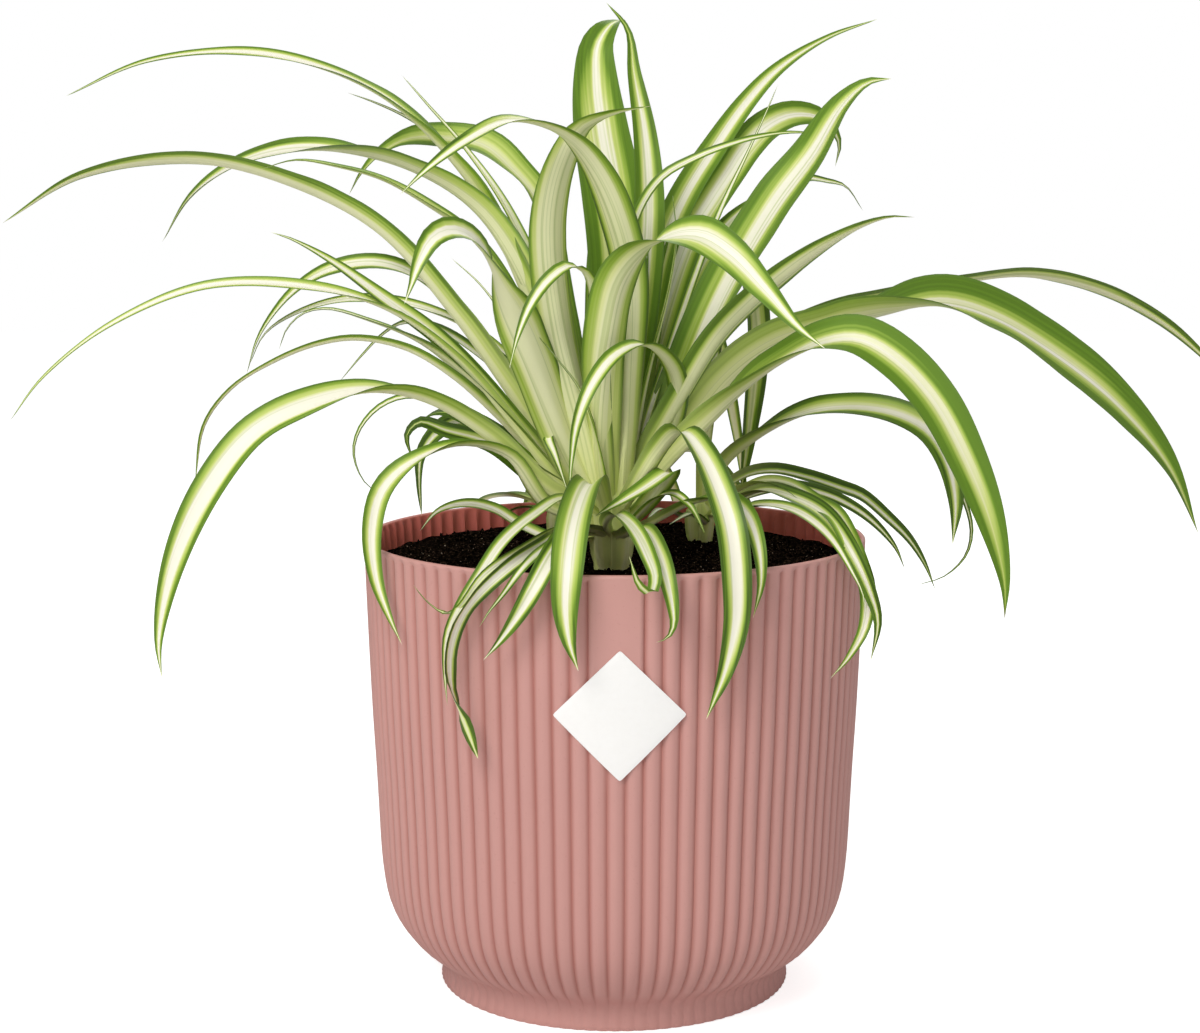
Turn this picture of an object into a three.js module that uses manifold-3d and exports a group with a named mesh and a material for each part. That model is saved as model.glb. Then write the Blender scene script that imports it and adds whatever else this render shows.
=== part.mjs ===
// A potted spider plant: arching striped leaves from three crowns, in a ribbed plastic pot of soil.
// Millimetres, +Z up, the front is towards -Y. The origin is the middle of the pot's underside.

import * as THREE from 'three';
import Module from 'manifold-3d';
import { mergeVertices } from 'three/addons/utils/BufferGeometryUtils.js';

const wasm = await Module();
wasm.setup();

// Pot
const potHeight = 200;
const rimRadius = 110;
const wall = 2.6;
const ribCount = 90;
const ribDepth = 1.6;
const lipHeight = 2;
const footRadius = 78;
const footHeight = 13;
const floorThickness = 3.6;
const underRecess = { depth: 1.2, inner: 20, outer: 68, sectors: 48 };
const lipRounding = 0.6;
const barePanel = { halfAngle: 5, bottom: 120 };
// radius and height of the rib crests, from the foot up
const sideProfile = [[footRadius, 0], [footRadius - 1, footHeight], [92, 24], [101.8, 40],
  [107.3, 127], [rimRadius, potHeight - lipHeight]];

// Label
const label = { diagonal: 54, height: 143, across: 1.5, thickness: 0.6, cells: 8, cornerPower: 30 };

// Soil
const soilEdge = 184.5;
const soilMiddle = 188;
const soilGrain = 0.9;
const soilRings = 5;
const soilSectors = 30;

// Crowns that the leaves grow from, and the clearance between pieces that touch
const crowns = {
  main: { x: -1, y: -18, radius: 14, height: 40 },
  right: { x: 40, y: 52, radius: 9.5, height: 20 },
  back: { x: -24, y: 44, radius: 9.5, height: 22 },
};
const crownDepth = 12;
const crownSectors = 14;
const holeSectors = 24;
const gap = 0.3;

// Blades: each starts in the crown and rises in the sheath. Widths and thicknesses change along its length.
const sheath = { footDepth: 5, footOut: 4, collarHeight: 8, collarOut: 6 };
const segmentLength = 28;
const leastSegments = 7;
const bladeThickness = 1.4;
const tipThinning = 0.4;
const baseWidthShare = 0.4;
const fullWidthAt = 0.35;
const taperRoot = 1.3;
const fold = { atBase: 55, atTip: 20, openedAt: 0.85 };

// Leaf places are given as they look from the front: millimetres across and up on the upright plane
// through the pot's axis, seen from this point, and millimetres towards it from that plane.
const frontEye = new THREE.Vector3(-6.4, -1000, 353);

const finishes = {
  pot: { color: 0xc89088, roughness: 0.5, metalness: 0 },
  soil: { color: 0x191513, roughness: 0.95, metalness: 0 },
  label: { color: 0xf4f3f0, roughness: 0.4, metalness: 0 },
  leaf: { color: 0x86a94c, roughness: 0.45, metalness: 0 },
};

// A leaf: its name, its full width, how late it tapers, its rolls in degrees from base to tip, where a
// positive roll turns its upper face to the front, and the points that it passes after leaving its
// crown, each as [across, up, toward].
function leaf(name, width, taper, rolls, ...points) {
  return { name, width, taper, rolls, points };
}

const mainLeaves = [
  leaf('highLeftArch', 24, 2, [-55, -55, -45, -10, 20],
    [-24, 268, 0], [-44, 321, -16], [-63, 356, -30], [-100, 391, -52], [-150, 408, -78],
    [-200, 405, -100], [-236, 390, -112]),
  leaf('farLeftArch', 23, 4, [-30, -32, -30, -26, -24],
    [-22, 228, 12], [-46, 266, 0], [-68, 297, -10], [-101, 333.5, -24], [-141, 354, -38],
    [-183, 363, -52], [-231, 356, -64], [-265, 336, -72]),
  leaf('leftArch', 23, 8, [-55, -60, -58, -20, 30, 40],
    [-20, 262, 0], [-42, 318, -14], [-60, 343.6, -24], [-89.4, 361.1, -38], [-130.4, 368.7, -56],
    [-162.2, 362.1, -68], [-183.2, 347.7, -76], [-196.2, 327.7, -80]),
  leaf('limeLeft', 18, 5, [-30, -25, -10, 0, 10],
    [-24, 258, 8], [-48, 313, 2], [-63, 332, -2], [-80, 344, -6], [-100, 355, -10], [-120, 360.5, -14],
    [-138, 363, -18], [-153, 359, -20]),
  leaf('slantLeft', 14, 4, [0, 20, 45, 45],
    [-22, 225, 20], [-40.6, 247.3, 24], [-60.6, 269.9, 26], [-80.6, 288.9, 28], [-101.6, 304.4, 30],
    [-121.6, 318.9, 31], [-139.6, 328.9, 32], [-149.1, 332.1, 32]),
  leaf('thinLeft', 9, 2.6, [30, 40, 40],
    [-20, 270, -12], [-45, 325, -32], [-62, 356, -46], [-76, 372, -56], [-90, 381.4, -64],
    [-104, 387.7, -70], [-115, 391.6, -74]),
  leaf('spikeLeft', 8, 2.6, [30, 40, 40],
    [-20, 280, -14], [-45, 340, -36], [-65, 369, -50], [-80, 386, -58], [-91.5, 399, -64]),
  leaf('limeArch', 20, 9, [-40, -40, -20, 0, 45, 60],
    [-14, 260, -6], [-26, 320, -26], [-33.4, 347.8, -38], [-44.4, 360.8, -48], [-56.4, 370.3, -58],
    [-72, 373, -66], [-89.4, 372.6, -74], [-101.4, 366.1, -78], [-109.4, 357.6, -80],
    [-114.9, 348.1, -81]),
  leaf('lowFarLeft', 11, 2.6, [-30, -32, -28, -15, 0],
    [-24, 222, 22], [-46, 251, 26], [-70, 279, 30], [-100, 300, 33], [-140, 309.5, 36],
    [-180, 308.5, 38], [-220, 292, 38], [-250, 269, 36], [-265, 250, 35]),
  leaf('secondLeft', 14, 3, [-55, -60, -60, 0, 30],
    [-25, 222, 4], [-48, 251, 0], [-66, 270.5, -2], [-86, 285.5, -4], [-108, 294.5, -6],
    [-125, 299, -8], [-135.5, 297, -9], [-143, 290, -10], [-146.5, 281, -10]),
  leaf('hookLeft', 14, 6, [-30, -25, -10, 45, 50],
    [-26, 250, -10], [-50, 279, -20], [-70, 300, -27], [-86, 313.5, -33], [-103, 319, -38],
    [-124, 316, -43], [-138, 308, -47], [-148.5, 297, -50], [-156, 285, -52], [-161, 270, -53]),
  leaf('underHookLeft', 10, 6, [-30, -30, 0, 30, 40],
    [-28, 255, -6], [-50, 281, -18], [-62, 290, -24], [-76, 297, -31], [-94, 302, -39],
    [-118, 303, -47], [-140, 296.5, -54], [-153, 287.5, -57], [-159.5, 274.5, -58]),
  leaf('longThinLeft', 14, 1.6, [-30, -30, -30, -30, -30],
    [-24, 224, 14], [-50, 251.5, 15], [-70, 269.5, 16], [-90, 281.5, 16], [-112, 286, 16],
    [-130, 283.5, 15], [-150, 275.5, 14], [-168, 264, 12], [-180, 248, 10], [-184.5, 223, 8]),
  leaf('backThinLeft', 9, 6, [-30, -30, 10, 50],
    [-30, 250, -16], [-58, 278, -34], [-78, 291, -46], [-92, 293, -54], [-101, 288, -59],
    [-110, 279, -62], [-120.5, 267, -64]),
  leaf('lowBigArch', 17, 7, [-40, -35, -10, 45, 60, 60],
    [-30, 220.5, 32], [-56, 244.7, 44], [-80, 259.7, 55], [-104, 264.7, 65], [-130, 259.2, 75],
    [-158, 245.5, 84], [-180, 218.5, 89], [-195, 186, 91], [-202.5, 152, 91], [-201.5, 134, 90]),
  leaf('curlLeft', 6, 4, [0, 30, 40],
    [-35, 232, 24], [-60, 252, 28], [-80, 259.5, 30], [-93, 260.5, 31], [-104, 255.5, 32],
    [-112, 246, 33], [-114.5, 236, 33], [-111, 224.5, 33], [-104, 217.5, 33]),
  leaf('overRimLeft', 11, 7, [-50, -40, 0, 60, 70],
    [-30, 212, 34], [-47, 235, 42], [-67, 240.5, 49], [-88, 233, 55], [-102, 220, 58], [-107, 202, 60],
    [-105.5, 180, 64], [-99.6, 162, 70], [-94.4, 150, 74]),
  leaf('narrowHook', 9, 5, [-20, 0, 60],
    [-32, 222, 12], [-54, 240, 14], [-74, 246, 16], [-85.5, 249.5, 17], [-91, 244, 18], [-90, 237, 18],
    [-88, 232, 18]),
  leaf('narrowDroop', 11, 5, [-20, 0, 60],
    [-30, 224, 0], [-48, 240, -2], [-65, 250, -4], [-73, 248.5, -5], [-80, 243, -6], [-85, 235, -7],
    [-86, 224, -8], [-85, 208, -8]),
  leaf('shortArch', 10, 5, [-20, -20, 20],
    [-28, 222, 6], [-44, 237, 5], [-57, 247, 4], [-68, 252.5, 3], [-77, 253.8, 2], [-84, 251, 1]),
  leaf('inPotLeft', 9, 5, [0, 30, 40],
    [-22, 196, 26], [-40, 203, 26], [-53, 211, 24], [-66, 213.5, 22], [-78, 210, 20], [-86, 201, 18]),
  leaf('paleDroop', 7.5, 5, [0, 20, 30],
    [-21, 216, 44], [-35, 209, 68], [-50, 196, 90], [-60, 181, 101], [-68, 168, 103], [-74, 155, 100],
    [-75.5, 140, 98], [-74.5, 122, 96]),
  leaf('twistDroop', 9, 2.6, [0, -30, 30, 70],
    [-18, 203, 40], [-32, 195, 82], [-47, 185, 107], [-60, 173, 110], [-69, 160, 105], [-73, 146, 102],
    [-72.5, 131, 100], [-68, 118, 102], [-61, 98, 104]),
  leaf('smallCurl', 4, 4, [0, 20, 20],
    [-20, 202, 40], [-40, 193, 80], [-58, 181, 106], [-70, 166, 102], [-77, 165, 95], [-84, 170.5, 92],
    [-89, 177, 90]),
  leaf('smallDroop', 7, 4, [0, 0, 40],
    [-16, 200, 46], [-30, 194, 86], [-41, 184, 110], [-50, 172, 110], [-56, 164.5, 108],
    [-60, 158, 107]),
  leaf('slantDroop', 11, 7, [0, 10, 30],
    [-12, 203, 46], [-20, 201, 76], [-28, 190, 104], [-35, 177, 114], [-43, 163, 113],
    [-51, 151.5, 110], [-58.4, 143, 108]),
  leaf('frontDroop', 16, 9, [0, 0, 0],
    [-6, 214, 30], [-10, 224, 54], [-15, 216, 84], [-19, 200, 108], [-21, 182, 119], [-21.7, 166, 121],
    [-20, 151, 121], [-16, 138, 120]),
  leaf('foldedShort', 11, 7, [0, 0, 0],
    [13, 212, 28], [23, 225, 38], [24, 228, 43], [12, 220, 54], [-9, 207.5, 68]),
  leaf('frontCurl', 9, 7, [0, 0, 0],
    [-4, 204, 38], [0, 209, 58], [8, 203, 86], [14.5, 191, 108], [18, 180, 119], [16, 173.5, 123],
    [11, 177, 125], [6.5, 190, 125]),
  leaf('frontHook', 10.5, 7, [0, 0, 0],
    [5, 200, 44], [12, 203, 72], [18.3, 194, 101], [22.8, 182, 116], [25.8, 168, 120],
    [26.3, 159, 121], [23.8, 153.5, 121], [18.5, 151, 120]),
  leaf('inPotRight', 7, 4, [0, 20, 40],
    [8, 206, 30], [18, 216, 34], [26, 218, 42], [33, 213, 50], [37, 206.5, 55], [40, 199.5, 60]),
  leaf('rightFrontFall', 14.5, 9, [-30, -10, 10, 20],
    [9, 220, 38], [20, 238, 48], [29, 246.5, 62], [38, 237, 80], [46, 220, 96], [51.5, 202, 107],
    [54, 180, 110], [54, 160, 109], [49.5, 138, 109], [41, 116, 110]),
  leaf('rightSideFall', 9, 7, [-20, 0, 30, 40],
    [18, 206, 26], [36, 215, 50], [50, 216, 72], [59, 208, 89], [64, 193, 101], [65, 178, 103],
    [61.5, 162, 103]),
  leaf('bigRight', 22.5, 7, [-45, -45, 20, 65, 65, 60],
    [18, 226, 20], [36, 246, 28], [54, 265, 34], [72, 278, 40], [90, 286, 46], [106.2, 286.8, 52],
    [123.2, 277.3, 58], [140.2, 259.3, 62], [154.2, 234.3, 64], [165.7, 206.3, 64], [172.7, 178.3, 62],
    [173.2, 161.3, 61]),
  leaf('bigFarRight', 33, 7, [-40, -40, -25, 45, 60, 60],
    [14, 226, 14], [32, 249, 10], [48, 270, 4], [66, 284, -2], [90, 292.5, -10], [116, 300, -18],
    [140.8, 303.9, -26], [166.8, 296.4, -35], [194.2, 279.5, -44], [221.2, 257.5, -52],
    [244.2, 230, -58], [257.7, 200, -62]),
  leaf('thinFarRight', 14.5, 7, [-20, -20, -12, -25, -34],
    [16, 230, 4], [36, 258, -10], [58, 282, -24], [88, 298.6, -42], [120, 306.4, -60],
    [150, 311.4, -76], [180, 313.9, -92], [212, 306.9, -107], [240, 292.4, -119], [262, 273.4, -127],
    [272, 261.4, -130]),
  leaf('frontArch', 24, 5, [-55, -60, -20, 50, 60],
    [-6, 240, 30], [-4, 285, 44], [3, 314, 56], [17, 329, 66], [35, 331.5, 77], [50, 323, 87],
    [65, 307.5, 97], [80, 291, 106], [92, 281.5, 112]),
  leaf('overStem', 12, 4, [-30, -20, 10, 30],
    [14, 222, 9], [27, 254, 18], [27, 268, 24], [21, 279, 36], [12, 284, 46], [0, 279, 56],
    [-10, 266, 63], [-16.5, 249, 66], [-19, 232, 66], [-20, 216, 66]),
  leaf('foldedLeft', 8, 4, [0, 0, 0],
    [-12, 222, 16], [-24, 240, 26], [-29, 243, 32], [-26, 235, 38], [-20, 217, 42]),
  leaf('littleArch', 12, 5, [-20, -20, 10, 40],
    [-6, 250, 34], [-8, 295, 46], [-12, 314, 52], [-19, 318, 56], [-28, 312.5, 60], [-36, 302, 63],
    [-42, 288, 65], [-46, 273, 66]),
  leaf('frontSpike', 8, 2.6, [20, 40, 40],
    [-6, 235, 34], [-15, 263, 40], [-25, 277, 42], [-34, 288, 44]),
  leaf('paleUpright', 22, 7, [0, 0, 0],
    [-12, 240, 26], [-24, 290, 34], [-28, 325, 38], [-27, 345, 40], [-22, 363, 42], [-14, 376.5, 44],
    [0, 383, 46], [16, 386, 48]),
  leaf('twistArch', 20, 5, [-50, -50, -30, 10, 30],
    [5, 260, 26], [6, 315, 34], [0, 340, 42], [-8, 358, 50], [-18, 371, 58], [-30, 378, 67],
    [-46, 380, 78], [-64, 371.5, 89], [-80, 360, 99], [-93, 348, 107]),
  leaf('topBroad', 32, 6, [0, 0, 0],
    [-1.2, 260, 0], [1.8, 320, -6], [-1.2, 350, -9], [-5.7, 375, -12], [-8.2, 397, -15],
    [-7.7, 411, -18], [-3, 419.5, -24], [2, 422, -36], [5, 421, -46]),
  leaf('topTall', 19, 4, [0, 0, 0],
    [7, 260, 2], [13.7, 320, 0], [14.7, 350, -2], [12.7, 375, -4], [8.2, 400, -6], [5.5, 418, -8],
    [-3.7, 429.4, -10]),
  leaf('topRight', 20, 3, [30, 35, 35, 30],
    [10, 260, -8], [20, 322, -28], [29.5, 346.5, -38], [43.5, 369, -50], [57, 388, -61],
    [70.5, 402, -71], [91, 414.8, -84], [112, 422.4, -96]),
  leaf('bentRight', 19, 9, [30, 40, 30, 85],
    [14, 270, -10], [31, 328, -32], [42.5, 347.5, -42], [49.5, 358, -49], [56.5, 368.5, -55],
    [64.5, 377, -61], [76.5, 382.5, -69], [89.5, 380.5, -77], [96.5, 370.5, -82], [95, 360, -84]),
  leaf('broadRight', 27, 9, [40, 50, 50, 40],
    [22.6, 250, 4], [40.6, 295, 8], [54.6, 322, 12], [69.6, 346, 16], [84.7, 366, 20],
    [97.2, 386.2, 24], [108.2, 395.7, 27], [118.8, 397.4, 30]),
  leaf('wireRight', 7, 5, [20, 40, 50],
    [2, 280, 12], [8, 335, 16], [19.5, 355, 18], [34.7, 364, 18], [49, 369.5, 17], [62, 373, 15],
    [78, 374.8, 12], [96, 372.5, 8]),
  leaf('backThinRight', 10, 7, [20, 30, 45],
    [40, 300, -34], [65, 343, -52], [80, 355, -61], [91.7, 354, -67], [100, 351.5, -71],
    [107.5, 341, -74]),
  leaf('spikeRight', 6, 2.6, [20, 30, 30],
    [27, 290, -9], [45, 340, -26], [57, 365.7, -35], [64.5, 382, -41], [70, 395, -45]),
  leaf('darkRight', 14, 7, [0, 20, 30],
    [28, 300, -26], [46, 332, -38], [60, 345, -46], [74, 352, -52]),
  leaf('slantRight', 18, 7, [-35, -38, -35, -10],
    [13, 232, 14], [29, 261, 20], [45, 287, 26], [59, 301.5, 31], [75, 315, 36], [89, 325, 40],
    [106, 334.5, 44], [119, 338.7, 47], [130, 338.5, 49]),
  leaf('leftFold', 24, 5, [-70, -75, -60, 40, 50],
    [-20, 236, 28], [-36, 278, 42], [-48, 306, 54], [-54, 321, 61], [-62, 331, 67], [-71, 333.5, 73],
    [-79, 329.5, 78], [-85, 319, 82], [-88.5, 309, 85], [-91.5, 301, 86]),
  leaf('tinySpike', 5, 2.6, [20, 40, 40],
    [-24, 250, 10], [-44, 289, 8], [-58, 309, 6], [-71, 321, 4]),
  leaf('innerSpike', 10, 4, [0, 0, 0],
    [12, 260, 14], [24, 310, 16], [26.5, 330, 16], [25, 348, 15]),
];

const rightLeaves = [
  leaf('rimRight', 10, 7, [20, 30, 40, 50],
    [50, 214, -40], [64, 220, -22], [78, 217, 4], [93, 208.3, 34], [105, 191.3, 60], [113, 174.3, 64],
    [117, 160.3, 62], [114, 142.3, 60]),
  leaf('behindRim', 10, 7, [10, 30, 30],
    [50, 217, -46], [62, 223, -32], [75, 222, -12], [88, 214, 14], [98, 207.5, 38], [107, 190, 60],
    [112, 176, 57], [111, 158, 57], [104, 144, 63], [96, 134.5, 71]),
  leaf('lowRim', 7, 4, [20, 30, 30],
    [50, 207, -30], [60, 212.5, -12], [70, 213, 4], [80, 210.5, 22], [90, 204, 42], [98, 195, 60],
    [104, 185, 70], [110, 173, 72], [111, 164, 72]),
  leaf('longRight', 9, 6, [20, 20, 20],
    [46, 218, -56], [58, 226.5, -58], [70, 228.5, -60], [85, 225.5, -62], [100, 220.5, -64],
    [109, 217, -65], [120.2, 207.6, -66], [130.2, 197.6, -66], [137.2, 186.6, -66],
    [142.2, 174.6, -66]),
  leaf('thinRight', 6, 5, [20, 20, 20],
    [52, 214, -50], [75, 221, -50], [92, 218, -50], [105, 212, -50], [115, 204.5, -50],
    [124, 194, -50], [128.5, 184, -50]),
  leaf('sideRight', 15, 9, [-10, 0, 40, 50, 50],
    [47, 231, -50], [62, 244, -40], [76, 252, -30], [90, 256, -20], [110, 256.5, -8],
    [126.8, 252.5, 0], [138.8, 245, 6], [146.8, 231.5, 10], [150.3, 214, 12], [149.3, 195, 12]),
  leaf('longCurlRight', 3.5, 4, [0, 10, 10],
    [50, 232, -54], [80, 252, -38], [105, 255, -26], [120, 251.5, -18], [134, 243.5, -12],
    [146, 230, -8], [154, 215, -6], [157.5, 201, -5], [155, 190, -5], [146, 181, -5], [134, 177, -5]),
  leaf('hangBehind', 15, 7, [0, 0, 0],
    [41, 250, -66], [45, 296, -74], [51, 314, -78], [58, 312, -81], [62, 296, -83], [61.5, 270, -84],
    [59, 245, -84], [55, 212, -82]),
  leaf('underLeft', 6, 4, [0, 0, 0],
    [30, 208, -34], [20, 211, -14], [12, 203, 4]),
  leaf('underFront', 6, 4, [0, 0, 0],
    [40, 205, -40], [34, 209, -22], [24, 204, -2]),
];

const backLeaves = [
  leaf('backRim', 8, 4, [0, 0, 0],
    [-38, 216, -70], [-50, 217.5, -98], [-60, 213, -128], [-70, 198, -150], [-78, 176, -164]),
  leaf('backRimShort', 6, 4, [0, 0, 0],
    [-36, 212, -62], [-44, 211, -74], [-50, 206, -84]),
  leaf('backTall', 15, 4, [0, 0, 0],
    [-6, 262, -70], [0, 312, -98], [6, 326, -134], [10, 305, -176], [12, 262, -206], [12, 224, -222]),
  leaf('backLeftTall', 14, 4, [0, 0, 0],
    [-22, 258, -68], [-26, 296, -96], [-29, 304, -130], [-32, 284, -168], [-34, 240, -196],
    [-36, 190, -210]),
  leaf('backRightTall', 14, 4, [0, 0, 0],
    [8, 258, -66], [20, 300, -92], [32, 310, -124], [44, 286, -160], [54, 242, -188], [60, 196, -204]),
  leaf('backLow', 13, 4, [0, 0, 0],
    [-10, 234, -76], [-6, 256, -112], [-4, 250, -152], [-2, 214, -186], [0, 160, -204],
    [2, 110, -210]),
  leaf('backLeftLow', 12, 4, [0, 0, 0],
    [-22, 226, -72], [-28, 238, -104], [-34, 224, -140], [-40, 186, -166], [-44, 136, -176]),
  leaf('backRightLow', 12, 4, [0, 0, 0],
    [14, 226, -72], [32, 238, -104], [52, 222, -140], [70, 180, -164], [82, 130, -174]),
  leaf('backFan', 9, 4, [0, 0, 0],
    [2, 226, -74], [12, 238, -106], [24, 224, -140], [34, 186, -166], [40, 140, -176]),
  leaf('backFanLeft', 9, 4, [0, 0, 0],
    [-18, 222, -74], [-22, 232, -104], [-26, 214, -138], [-30, 172, -160], [-32, 126, -168]),
  leaf('backShort', 8, 4, [0, 0, 0],
    [-8, 218, -70], [2, 224, -92], [12, 217, -118], [20, 190, -134]),
  leaf('backUpright', 12, 4, [0, 0, 0],
    [-10, 270, -58], [-8, 330, -66], [-2, 362, -74], [6, 374, -84]),
];

// Geometry helpers

function smooth(value) {
  const t = Math.min(Math.max(value, 0), 1);
  return t * t * (3 - 2 * t);
}

// Seeded draws, so the soil's grain is the same every time
function seededRandom(seed) {
  let state = seed;
  return () => {
    state = (state * 1664525 + 1013904223) % 4294967296;
    return state / 4294967296;
  };
}

// A solid turned about the Z axis from a profile of [radius, height] points.
// The first sector faces the front.
function turned(profile, sectors, shapeRadius = (radius) => radius) {
  const points = profile.map(([radius, height]) => new THREE.Vector2(radius, height));
  const geometry = new THREE.LatheGeometry(points, sectors).rotateX(Math.PI / 2);
  const position = geometry.attributes.position;
  for (let i = 0; i < position.count; i += 1) {
    const column = Math.floor(i / points.length) % sectors;
    const [radius, height] = profile[i % points.length];
    const angle = (column / sectors) * 2 * Math.PI;
    const shaped = radius > 0 ? shapeRadius(radius, height, angle, column) : 0;
    position.setXYZ(i, shaped * Math.sin(angle), -shaped * Math.cos(angle), height);
  }
  return geometry;
}

function toSolid(geometry) {
  const bare = new THREE.BufferGeometry();
  bare.setAttribute('position', geometry.attributes.position.clone());
  if (geometry.index) {
    bare.setIndex(geometry.index.clone());
  }
  const merged = mergeVertices(bare, 1e-5);
  const corners = [];
  for (let i = 0; i < merged.index.count; i += 3) {
    const triangle = [merged.index.getX(i), merged.index.getX(i + 1), merged.index.getX(i + 2)];
    if (new Set(triangle).size === 3) {
      corners.push(...triangle);
    }
  }
  return new wasm.Manifold(new wasm.Mesh({
    numProp: 3,
    vertProperties: Float32Array.from(merged.attributes.position.array),
    triVerts: Uint32Array.from(corners),
  }));
}

function toGeometry(solid) {
  const mesh = solid.getMesh();
  const geometry = new THREE.BufferGeometry();
  geometry.setAttribute('position', new THREE.BufferAttribute(mesh.vertProperties, 3));
  geometry.setIndex(new THREE.BufferAttribute(mesh.triVerts, 1));
  geometry.computeVertexNormals();
  return geometry;
}

function named(name, solid, finish) {
  const mesh = new THREE.Mesh(toGeometry(solid), new THREE.MeshStandardMaterial(finish));
  mesh.name = name;
  return mesh;
}

// Pot: ribs run down both faces of the wall, fade into a thin plain lip and leave a bare panel

function ribbed(radius, height, angle, column) {
  const fromFront = Math.min(angle, 2 * Math.PI - angle);
  const onPanel = fromFront < THREE.MathUtils.degToRad(barePanel.halfAngle) && height > barePanel.bottom;
  const onLip = height > potHeight - lipHeight;
  const inValley = column % 2 === 1;
  return inValley && !onPanel && !onLip ? radius - ribDepth : radius;
}

function potBody() {
  const outside = [[0, 0], ...sideProfile, [rimRadius - lipRounding, potHeight], [0, potHeight]];
  return toSolid(turned(outside, 2 * ribCount, ribbed));
}

// The inner face follows the crests one wall thickness in
function innerProfile(shrink) {
  const neckRadius = sideProfile[1][0] - wall - shrink;
  const belly = sideProfile.slice(3).map(([radius, height]) => [radius - wall - shrink, height]);
  return [[neckRadius, floorThickness + shrink], [neckRadius, footHeight + wall], ...belly];
}

function potCavity() {
  const inner = innerProfile(0);
  const mouth = inner[inner.length - 1][0] + lipRounding;
  return toSolid(turned([[0, floorThickness], ...inner, [mouth, potHeight + 1], [0, potHeight + 1]],
    2 * ribCount, ribbed));
}

function footRecess() {
  const { depth, inner, outer, sectors } = underRecess;
  const section = [[inner, -1], [outer, -1], [outer, depth], [inner, depth], [inner, -1]];
  return toSolid(turned(section, sectors));
}

function makePot() {
  return potBody().subtract(potCavity()).subtract(footRecess());
}

// Soil: a plug inside the wall with a low grainy mound, and a plain hole for each crown

function soilProfile() {
  const shrink = ribDepth + gap;
  const inner = innerProfile(shrink);
  const [topRadius, topHeight] = inner[inner.length - 1];
  const [lowRadius, lowHeight] = inner[inner.length - 2];
  const share = (soilEdge - lowHeight) / (topHeight - lowHeight);
  const edgeRadius = lowRadius + (topRadius - lowRadius) * share;
  const side = [[0, floorThickness + shrink], ...inner.slice(0, -1), [edgeRadius, soilEdge]];
  for (let ring = soilRings - 1; ring >= 0; ring -= 1) {
    const reach = ring / soilRings;
    side.push([edgeRadius * reach, soilEdge + (soilMiddle - soilEdge) * smooth(1.4 * (1 - reach))]);
  }
  return side;
}

function grainySoil() {
  const random = seededRandom(11);
  const geometry = mergeVertices(turned(soilProfile(), soilSectors).deleteAttribute('normal')
    .deleteAttribute('uv'), 1e-5);
  const position = geometry.attributes.position;
  for (let i = 0; i < position.count; i += 1) {
    const lift = soilGrain * (2 * random() - 1);
    if (position.getZ(i) > soilEdge + 0.01) {
      position.setZ(i, position.getZ(i) + lift);
    }
  }
  return toSolid(geometry);
}

function crownHole({ x, y, radius }) {
  const bottom = soilMiddle - crownDepth - gap;
  const section = [[0, bottom], [radius + gap, bottom], [radius + gap, potHeight], [0, potHeight]];
  return toSolid(turned(section, holeSectors).translate(x, y, 0));
}

function makeSoil() {
  let soil = grainySoil();
  for (const crown of Object.values(crowns)) {
    soil = soil.subtract(crownHole(crown));
  }
  return soil;
}

// Label: a blank diamond bent round the front of the pot, a little off the crests

function crestRadius(height) {
  const above = sideProfile.findIndex((point) => point[1] > height);
  const [lowRadius, lowHeight] = sideProfile[above - 1];
  const [highRadius, highHeight] = sideProfile[above];
  return lowRadius + ((highRadius - lowRadius) * (height - lowHeight)) / (highHeight - lowHeight);
}

function labelPoint(a, b, lift) {
  const power = label.cornerPower;
  const reach = Math.max(Math.abs(a), Math.abs(b));
  const bulge = (Math.abs(a) ** power + Math.abs(b) ** power) ** (1 / power);
  const round = bulge > 0 ? reach / bulge : 1;
  const across = label.across + ((a - b) / 4) * round * label.diagonal;
  const height = label.height + ((a + b) / 4) * round * label.diagonal;
  const radius = crestRadius(height) + gap + lift;
  const angle = across / crestRadius(label.height);
  return [radius * Math.sin(angle), -radius * Math.cos(angle), height];
}

function makeLabel() {
  const { cells, thickness } = label;
  const side = cells + 1;
  const vertices = [];
  const faces = [];
  for (const lift of [0, thickness]) {
    for (let i = 0; i <= cells; i += 1) {
      for (let j = 0; j <= cells; j += 1) {
        vertices.push(...labelPoint((2 * i) / cells - 1, (2 * j) / cells - 1, lift));
      }
    }
  }
  const back = (i, j) => i * side + j;
  const front = (i, j) => side * side + i * side + j;
  for (let i = 0; i < cells; i += 1) {
    for (let j = 0; j < cells; j += 1) {
      faces.push(front(i, j), front(i + 1, j), front(i + 1, j + 1));
      faces.push(front(i, j), front(i + 1, j + 1), front(i, j + 1));
      faces.push(back(i, j), back(i + 1, j + 1), back(i + 1, j));
      faces.push(back(i, j), back(i, j + 1), back(i + 1, j + 1));
    }
  }
  const rim = [];
  for (let i = 0; i < cells; i += 1) {
    rim.push([i, 0]);
  }
  for (let j = 0; j < cells; j += 1) {
    rim.push([cells, j]);
  }
  for (let i = cells; i > 0; i -= 1) {
    rim.push([i, cells]);
  }
  for (let j = cells; j > 0; j -= 1) {
    rim.push([0, j]);
  }
  rim.forEach(([i, j], step) => {
    const [nextI, nextJ] = rim[(step + 1) % rim.length];
    faces.push(back(i, j), front(nextI, nextJ), front(i, j));
    faces.push(back(i, j), back(nextI, nextJ), front(nextI, nextJ));
  });
  const geometry = new THREE.BufferGeometry();
  geometry.setAttribute('position', new THREE.Float32BufferAttribute(vertices, 3));
  geometry.setIndex(faces);
  return toSolid(geometry);
}

// Leaves

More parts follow.
